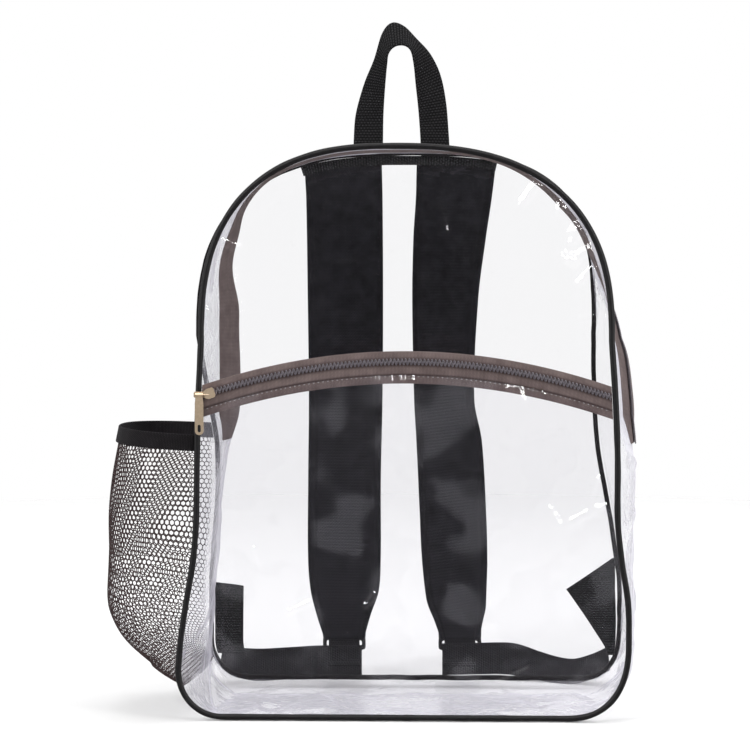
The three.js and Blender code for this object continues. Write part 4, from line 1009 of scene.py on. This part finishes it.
# down the strap: its place and width in shares of its width, its stand in shares of the bow, and its turn
LEFT_STRAP = np.array([
    (0, -0.874, 1.01, 0, 0), (0.07, -0.862, 1, 0.25, 0), (0.28, -0.862, 1, 0.85, 0), (0.49, -0.862, 0.98, 1, 3),
    (0.66, -0.878, 0.97, 0.96, 6), (0.83, -0.878, 0.97, 0.85, 6), (0.9, -0.872, 0.9, 0.78, 3),
    (0.95, -0.886, 0.7, 0.69, 0), (1, -0.879, 0.5, 0.66, 0),
])
RIGHT_STRAP = np.array([
    (0, 0.665, 1.03, 0, 0), (0.07, 0.632, 1, 0.25, -8), (0.15, 0.577, 1, 0.5, -18), (0.28, 0.517, 1, 0.85, -30),
    (0.49, 0.505, 1, 1, -38), (0.58, 0.575, 1, 1, -30), (0.74, 0.632, 0.98, 0.92, -26),
    (0.83, 0.654, 0.95, 0.86, -24), (0.915, 0.676, 0.84, 0.77, -20), (0.957, 0.712, 0.64, 0.68, 0),
    (1, 0.733, 0.48, 0.66, 0),
])
strap_y = band_y + TOP_BAND["thick"] / 2 + CLEAR + STRAP["thick"] / 2


def strap_at(table):
    """A strap's middle sheet: place, width, stand and turn are read from its table at v, down the strap."""
    def at(u, v):
        x, wide, stand, turn = [smooth(table[:, 0], column, v) for column in table.T[1:]]
        side = (u - 0.5) * STRAP_WIDTH * wide
        turn = np.radians(turn)
        return np.stack([
            STRAP_WIDTH * x + side * np.cos(turn),
            strap_y + STRAP["bow"] * stand + side * np.sin(turn),
            lerp(STRAP["top"], STRAP["bottom"], v),
        ], -1)

    return at


def strap_thick(u, v):
    """A thin pad with bound edges: full over its middle, pinched at a seam 4 mm in from each edge."""
    edge = np.minimum(u, 1 - u) * STRAP_WIDTH
    pinch = 0.38 * np.exp(-(((edge - 4) / 1.3) ** 2))
    return STRAP["thick"] * (0.94 - pinch)


strap_steps = np.concatenate([
    np.linspace(0.01, 0.16, 10),
    np.linspace(0.2, 0.8, 14),
    np.linspace(0.84, 0.99, 10),
])
for hand, table in (("left", LEFT_STRAP), ("right", RIGHT_STRAP)):
    strap = slab(f"{hand}_strap", strap_at(table), strap_thick, strap_steps, np.linspace(0, 1, 200))
    dress(strap, STRAP_BLACK, "strap", f"shoulder_strap_{hand}")


# Adjusters, lower webbing and corner tabs

ADJUSTER = {"wide": 34, "tall": 20, "thick": 3, "rail": 3, "low": 24}
LOWER = {"width": 26, "thick": 1.5, "lowest": 0.3, "before": 14, "straight": 0.33, "end_gap": 2}
# along the webbing: its height and stand in shares of its width, and the lean of its upper edge
LEFT_WEBBING = np.array([
    (0, 0.1, 0, 0), (0.33, 0.08, 0, 0), (0.55, 0.03, 0.12, 8), (0.78, 0.06, 0.08, 18), (0.9, 0.25, 0.03, 40),
    (1, 0.6, 0, 60),
])
RIGHT_WEBBING = np.array([
    (0, 0.16, 0, 0), (0.33, 0.2, 0, 0), (0.42, 0.18, 0.08, 8), (0.6, 0.03, 0.2, 36), (0.78, 0, 0.12, 50),
    (0.9, 0.2, 0.05, 52), (1, 0.5, 0, 55),
])
TAB = {"thick": 1.5, "foot": 26}


def adjuster_frame(name, centre):
    """A moulded ladder: a rounded plate with two slots. The outline is a superellipse of power 6, the slots
    are of power 5, and the plate between them is bridged ring by ring, front, back, and inside each slot."""
    angle = (np.arange(64) + 0.5) / 64 * 2 * np.pi
    wide, tall, rail = ADJUSTER["wide"] / 2, ADJUSTER["tall"] / 2, ADJUSTER["rail"]
    pieces = []
    slot_tall = (ADJUSTER["tall"] - 3 * rail) / 2

    def oval(half_wide, half_tall, middle, power):
        c, s = np.cos(angle), np.sin(angle)
        return np.stack([
            np.sign(c) * np.abs(c) ** (2 / power) * half_wide,
            middle + np.sign(s) * np.abs(s) ** (2 / power) * half_tall,
        ], -1)

    for side in (-1, 1):
        middle = side * (slot_tall + rail) / 2
        outer = oval(wide, (slot_tall + 2 * rail) / 2, middle, 6)
        inner = oval(wide - rail, slot_tall / 2, middle, 5)
        bevel = 0.5
        rows = [(outer, -1, 0), (outer, -1, bevel), (inner, -1, -bevel), (inner, -1, 0), (inner, 1, 0),
                (inner, 1, -bevel), (outer, 1, bevel), (outer, 1, 0)]
        shell = []
        for ring, face, inset in rows:
            inward = -unit(ring - np.array([0, middle])) * inset
            pulled = ADJUSTER["thick"] / 2 - (bevel if inset == 0 else 0)
            flat = ring + inward
            shell.append(np.stack([flat[:, 0], np.full(len(flat), face * pulled), flat[:, 1]], -1))
        pieces.append(surface(f"{name}_{side}", np.array(shell) + centre, wrap_rows=True, wrap_cols=True))
    return join(name, pieces)


def webbing_at(table, start, end, start_y, end_y):
    """The lower webbing from the strap's end along the floor: u goes up across it, v goes outwards."""
    def at(u, v):
        low, stand, turn = [smooth(table[:, 0], column, v) for column in table.T[1:]]
        turn = np.radians(turn)
        away = np.maximum(v - LOWER["straight"], 0) / (1 - LOWER["straight"])
        return np.stack([
            lerp(start, end, v) + 0 * u,
            lerp(start_y, end_y, away) + LOWER["width"] * (stand + u * np.sin(turn)),
            LOWER["lowest"] + LOWER["width"] * (low + u * np.cos(turn)),
        ], -1)

    return at


tabs = {"left": {"top": 82, "tip": 0.97, "reach": 23, "low": 0.98},
        "right": {"top": 102, "tip": 0.76, "reach": 40, "low": 0.075}}
tab_y = DEPTH + BACK_BULGE + 0.5 + CLEAR
for hand, sign, strap_table, table in (
    ("left", -1, LEFT_STRAP, LEFT_WEBBING),
    ("right", 1, RIGHT_STRAP, RIGHT_WEBBING),
):
    adjuster_middle = middle_of(f"strap_adjuster_{hand}") - ROW_ORIGIN
    frame_piece = adjuster_frame(f"{hand}_adjuster", adjuster_middle)
    dress(frame_piece, PLASTIC_BLACK, "plastic", f"strap_adjuster_{hand}")

    def seam_x(z, sign=sign):
        way = back.way_at(float(sign), np.asarray(z, float))
        return back.inset(np.where(sign < 0, 8 - way, way), BINDING["across"] / 2 + CLEAR)[0]

    strap_end = STRAP_WIDTH * strap_table[-1, 1]
    way = back.way_at(float(sign), np.array([TAB["foot"]], float))
    tab_x = float(back.point(np.array([float(sign)]), way)[0][0])
    start = strap_end - sign * LOWER["before"]
    end = tab_x - sign * (BINDING["across"] / 2 + CLEAR + LOWER["end_gap"])
    start_y = adjuster_middle[1] - ADJUSTER["thick"] / 2 - CLEAR - LOWER["thick"] / 2
    end_y = tab_y + TAB["thick"] + CLEAR + LOWER["thick"] / 2
    webbing = slab(
        f"{hand}_webbing", webbing_at(table, start, end, start_y, end_y), LOWER["thick"],
        cross_steps, np.linspace(0, 1, 120))
    dress(webbing, WEBBING_GREY, "webbing", f"lower_webbing_{hand}")

    def turn_at(u, v, middle=strap_end, front_y=start_y):
        """The end of the webbing, turned up through the adjuster's slots."""
        x = middle + (u - 0.5) * LOWER["width"] * lerp(1, 0.94, v)
        return np.stack([x, front_y - 0.9 + 1.4 * np.sin(np.pi * v), lerp(12, 42, v)], -1)

    turned = slab(f"{hand}_webbing_turn", turn_at, LOWER["thick"], cross_steps, np.linspace(0, 1, 24))
    dress(turned, WEBBING_GREY, "webbing")

    tab = tabs[hand]

    def tab_at(u, v, tab=tab, sign=sign, seam_x=seam_x):
        """The corner tab: u goes from the back seam to its free edge, v goes up."""
        z = lerp(TAB["foot"], tab["top"], v)
        tip = tab["top"] * tab["tip"]
        reach = np.where(
            z <= tip,
            lerp(tab["reach"] * tab["low"], tab["reach"], (z - TAB["foot"]) / (tip - TAB["foot"])),
            lerp(tab["reach"], 0.5, (z - tip) / (tab["top"] - tip)),
        )
        return np.stack([seam_x(z) - sign * u * reach, np.full_like(z, tab_y + TAB["thick"] / 2), z], -1)

    tab_piece = slab(f"{hand}_tab", tab_at, 1.3, cross_steps, np.linspace(0, 1, 60))
    dress(tab_piece, WEBBING_BLACK, "webbing", f"corner_tab_{hand}")


# The net pocket

NET = {"bulge": 76, "foot": 24, "hem": 207, "hem_rise": 2, "hem_tall": 10.5, "round": 2.3, "from_seam": 1,
       "pitch": 3.9, "hole": 0.81}
# up the net: how far out it stands, as a share of the bulge, and how closely it follows the caved gusset
NET_ROWS = np.array([
    (0, 0, 1), (0.03, 0.22, 0.8), (0.065, 0.42, 0.5), (0.11, 0.61, 0.3), (0.17, 0.77, 0.1), (0.24, 0.87, 0),
    (0.36, 0.905, 0), (0.5, 0.925, 0), (0.64, 0.94, 0), (0.8, 0.92, 0), (0.92, 0.87, 0), (1, 0.82, 0),
])
net_start = (seam_start + NET["from_seam"]) / DEPTH
net_end = (seam_end - NET["from_seam"]) / DEPTH


def net_at(u, up, away):
    """The net's wall. u goes from the front seam to the back, up from the foot to the hem. It stands off the
    gusset by its bulge, times the table's share, times a superellipse across."""
    t = lerp(net_start, net_end, u)
    ring = np.maximum(1 - np.abs(2 * u - 1) ** NET["round"], 0) ** (1 / NET["round"])
    z = lerp(NET["foot"], NET["hem"], up) + NET["hem_rise"] * ring * up
    sign = np.full_like(z, -1.0)
    way = front.way_at(sign, z)
    wall, out = gusset(8 - way, t)
    ax, az = front.point(sign, way)
    bx, bz = back.point(sign, way)
    chord = np.stack([lerp(ax, bx, t), wall[..., 1], lerp(az, bz, t)], -1)
    key, share, hug = NET_ROWS.T
    place = lerp(chord, wall, smooth(key, hug, up)[..., None])
    stand = 0.8 + away + NET["bulge"] * smooth(key, share, up) * ring
    return place + out * stand[..., None]


hem_share = NET["hem_tall"] / (NET["hem"] - NET["foot"])
net_top = 1 - hem_share


def even_shares(places, count):
    """Shares of a path's parameter at equal distances along it."""
    run = np.concatenate([[0], np.cumsum(np.linalg.norm(np.diff(places, axis=0), axis=-1))])
    return np.interp(np.linspace(0, run[-1], count), run, np.linspace(0, 1, len(places))), run[-1]


def net_mesh(name):
    """A net of six-sided meshes. Cells lie in rows half a cell apart, each with a hole that is its own
    outline drawn in to a share, and six quads fill between outline and hole. The flat net of cells is laid
    over the pocket's wall at equal distances, so it crowds where the wall draws in."""
    pitch, hole = NET["pitch"], NET["hole"]
    fine = np.linspace(0, 1, 1200)
    half_up = np.full_like(fine, 0.55)
    _, wide = even_shares(net_at(fine, half_up, 0), 10)
    _, tall = even_shares(net_at(np.full_like(fine, 0.5), fine * net_top, 0), 10)
    columns, rows = int(wide / pitch), int(tall / (pitch * 0.866))
    u_shares, _ = even_shares(net_at(fine, half_up, 0), 2 * columns + 1)
    up_shares, _ = even_shares(net_at(np.full_like(fine, 0.5), fine * net_top, 0), 3 * rows + 2)
    i, j = np.meshgrid(np.arange(columns - 1), np.arange(rows))
    centre = np.stack([2 * i + 1 + (j % 2), 3 * j + 2], -1).reshape(-1, 1, 2).astype(float)
    corners = np.array([(0, 2), (-1, 1), (-1, -1), (0, -2), (1, -1), (1, 1)], float)
    outer = centre + corners
    inner = centre + corners * hole
    cells = len(centre)
    places = np.concatenate([outer, inner], 1).reshape(-1, 2)
    lattice = np.round(outer).astype(int).reshape(-1, 2)
    u = np.interp(places[:, 0], np.arange(2 * columns + 1), u_shares)
    up = np.interp(places[:, 1], np.arange(3 * rows + 2), up_shares * net_top)
    sway = 1.6 * np.sin(up * 9 + u * 5) * np.sin(np.pi * u)
    points = net_at(np.clip(u, 0, 1), np.clip(up, 0, 1), 0.0)
    _, out = gusset(8 - front.way_at(np.full_like(u, -1.0), points[:, 2]), np.full_like(u, 0.5))
    points = points + out * (sway * 0.5 - 0.3)[:, None]
    code = lattice[:, 0] * 100000 + lattice[:, 1]
    _, first, same = np.unique(code, return_index=True, return_inverse=True)
    number = np.empty(cells * 12, int)
    outer_at = (np.arange(cells)[:, None] * 12 + np.arange(6)).ravel()
    inner_at = outer_at + 6
    number[outer_at] = same.ravel()
    number[inner_at] = len(first) + np.arange(cells * 6)
    kept = np.concatenate([points[outer_at[first]], points[inner_at]])
    k = np.arange(6)
    base = np.arange(cells)[:, None] * 12
    quads = np.stack([base + k, base + (k + 1) % 6, base + (k + 1) % 6 + 6, base + k + 6], -1)
    return build(name, kept, [number[quads.reshape(-1, 4)]], flip=True)


net = solidify(net_mesh("side_net"), 0.4)
dress(net, NET_BLACK, "net", "mesh_pocket")


def hem_at(u, v):
    return net_at(v, lerp(net_top, 1, u), 0.8)


hem_steps = (1 - np.cos(np.pi * np.linspace(0, 1, 120))) / 2
hem = slab("net_hem", hem_at, 1.5, EDGE_STEPS, hem_steps)
dress(hem, BINDING_BLACK, "webbing", "mesh_pocket_hem")
net_width = even_shares(net_at(np.linspace(0, 1, 400), np.full(400, 0.55), 0), 10)[1]
net_tall = even_shares(net_at(np.full(400, 0.5), np.linspace(0, 1, 400), 0), 10)[1]

# The sliders and the pull keep the frame's shape
for node in ("main_slider_left", "main_slider_right", "pocket_slider", "pocket_pull"):
    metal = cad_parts[node]
    metal.data.materials.clear()
    metal.data.materials.append(BRASS_AGED)

# Stitches along the pocket's upper edge
edge_v = np.linspace(0.01, 0.99, 300)
row = zip_band(vinyl_top + 1.2, vinyl_top + 2.2, POCKET_AWAY + 0.5)
edge_path = row(np.zeros(300), edge_v)
edge_normal = np.broadcast_to(np.array([0.0, -1, 0]), edge_path.shape)
dress(stitches("pocket_stitches", edge_path, edge_normal, 3.4, 0.4), THREAD_GREY, "zip_tape")


# The stage: a pale floor, a white surround that is dark only behind the camera, and soft lamps

def paper_floor():
    paper = Finish("studio_floor")
    tone = paper.noise(60, 2)
    greys = colour(0.67, 0.67, 0.67), colour(0.69, 0.69, 0.69)
    return paper.done(paper.skin(colour=paper.blend(tone, *greys), rough=0.9))


angle = np.linspace(0, 2 * np.pi, 97)[:-1]
radii = np.array([1500, 700, 300, 0.0])[:, None]
disc = np.stack([radii * np.cos(angle), radii * np.sin(angle) + DEPTH / 2, 0 * radii * angle], -1)
floor = surface("floor", disc, wrap_cols=True, pole=True)
floor.data.materials.append(paper_floor())
floor.visible_glossy = False


def surround():
    """White for the camera. For everything else it is white all round and brighter above, apart from a dark
    opening where the camera stands."""
    world = bpy.data.worlds.new("studio")
    bpy.context.scene.world = world
    world.use_nodes = True
    tree = world.node_tree
    tree.nodes.clear()
    mixer = Finish.__new__(Finish)
    mixer.tree = tree
    way = mixer.node("ShaderNodeTexCoord", output="Generated")
    _, y, z = [mixer.node("ShaderNodeSeparateXYZ", values={"Vector": way}, output=k) for k in range(3)]
    opening = ((0 - y - 0.3) / 0.5).clamp()
    light = 1 - 0.94 * opening + 0.35 * z.maths("MAXIMUM", z, 0.0)
    seen = mixer.node("ShaderNodeLightPath", output="Is Camera Ray")
    level = seen + (1 - seen) * light
    glow = mixer.node("ShaderNodeBackground", values={"Color": colour(1, 1, 1), "Strength": level})
    out = tree.nodes.new("ShaderNodeOutputWorld")
    tree.links.new(glow.socket, out.inputs["Surface"])


def lamp(name, at, aim, size, power, gloss_only=False):
    data = bpy.data.lights.new(name, "AREA")
    data.shape, data.size, data.size_y, data.energy = "RECTANGLE", size[0], size[1], power
    made = bpy.data.objects.new(name, data)
    bpy.context.scene.collection.objects.link(made)
    made.location = Vector(at)
    made.rotation_euler = (Vector(aim) - Vector(at)).to_track_quat("-Z", "Y").to_euler()
    made.visible_diffuse = not gloss_only


surround()
lamp("key", (-1.5, -1.6, 1.9), (0, 0, 0.2), (0.5, 0.4), 22)
lamp("fill", (1.9, -1.3, 1.3), (0, 0, 0.2), (0.35, 0.7), 16)
lamp("top", (0.1, 0.3, 2.3), (0, 0, 0.2), (1.6, 1.2), 20)

for number, turned in enumerate(np.radians([8, 40, 72, 108, 140, 172])):
    place = (2.05 * np.cos(turned), -1.4, 0.25 + 2.05 * np.sin(turned))
    lamp(f"glint_{number}", place, (0, 0, 0.25), (0.9, 0.45), 45, gloss_only=True)

camera_data = bpy.data.cameras.new("camera")
camera_data.lens, camera_data.sensor_width = 106.7, 36
camera = bpy.data.objects.new("camera", camera_data)
bpy.context.scene.collection.objects.link(camera)
EYE, AIM = Vector((0.0491, -1.6813, 0.3352)), Vector((0.0073, -0.084, 0.2515))
camera.location = EYE
camera.rotation_euler = (AIM - EYE).to_track_quat("-Z", "Y").to_euler()
bpy.context.scene.camera = camera
bpy.context.scene.view_settings.view_transform = "Standard"
bpy.context.scene.cycles.transparent_max_bounces = 32
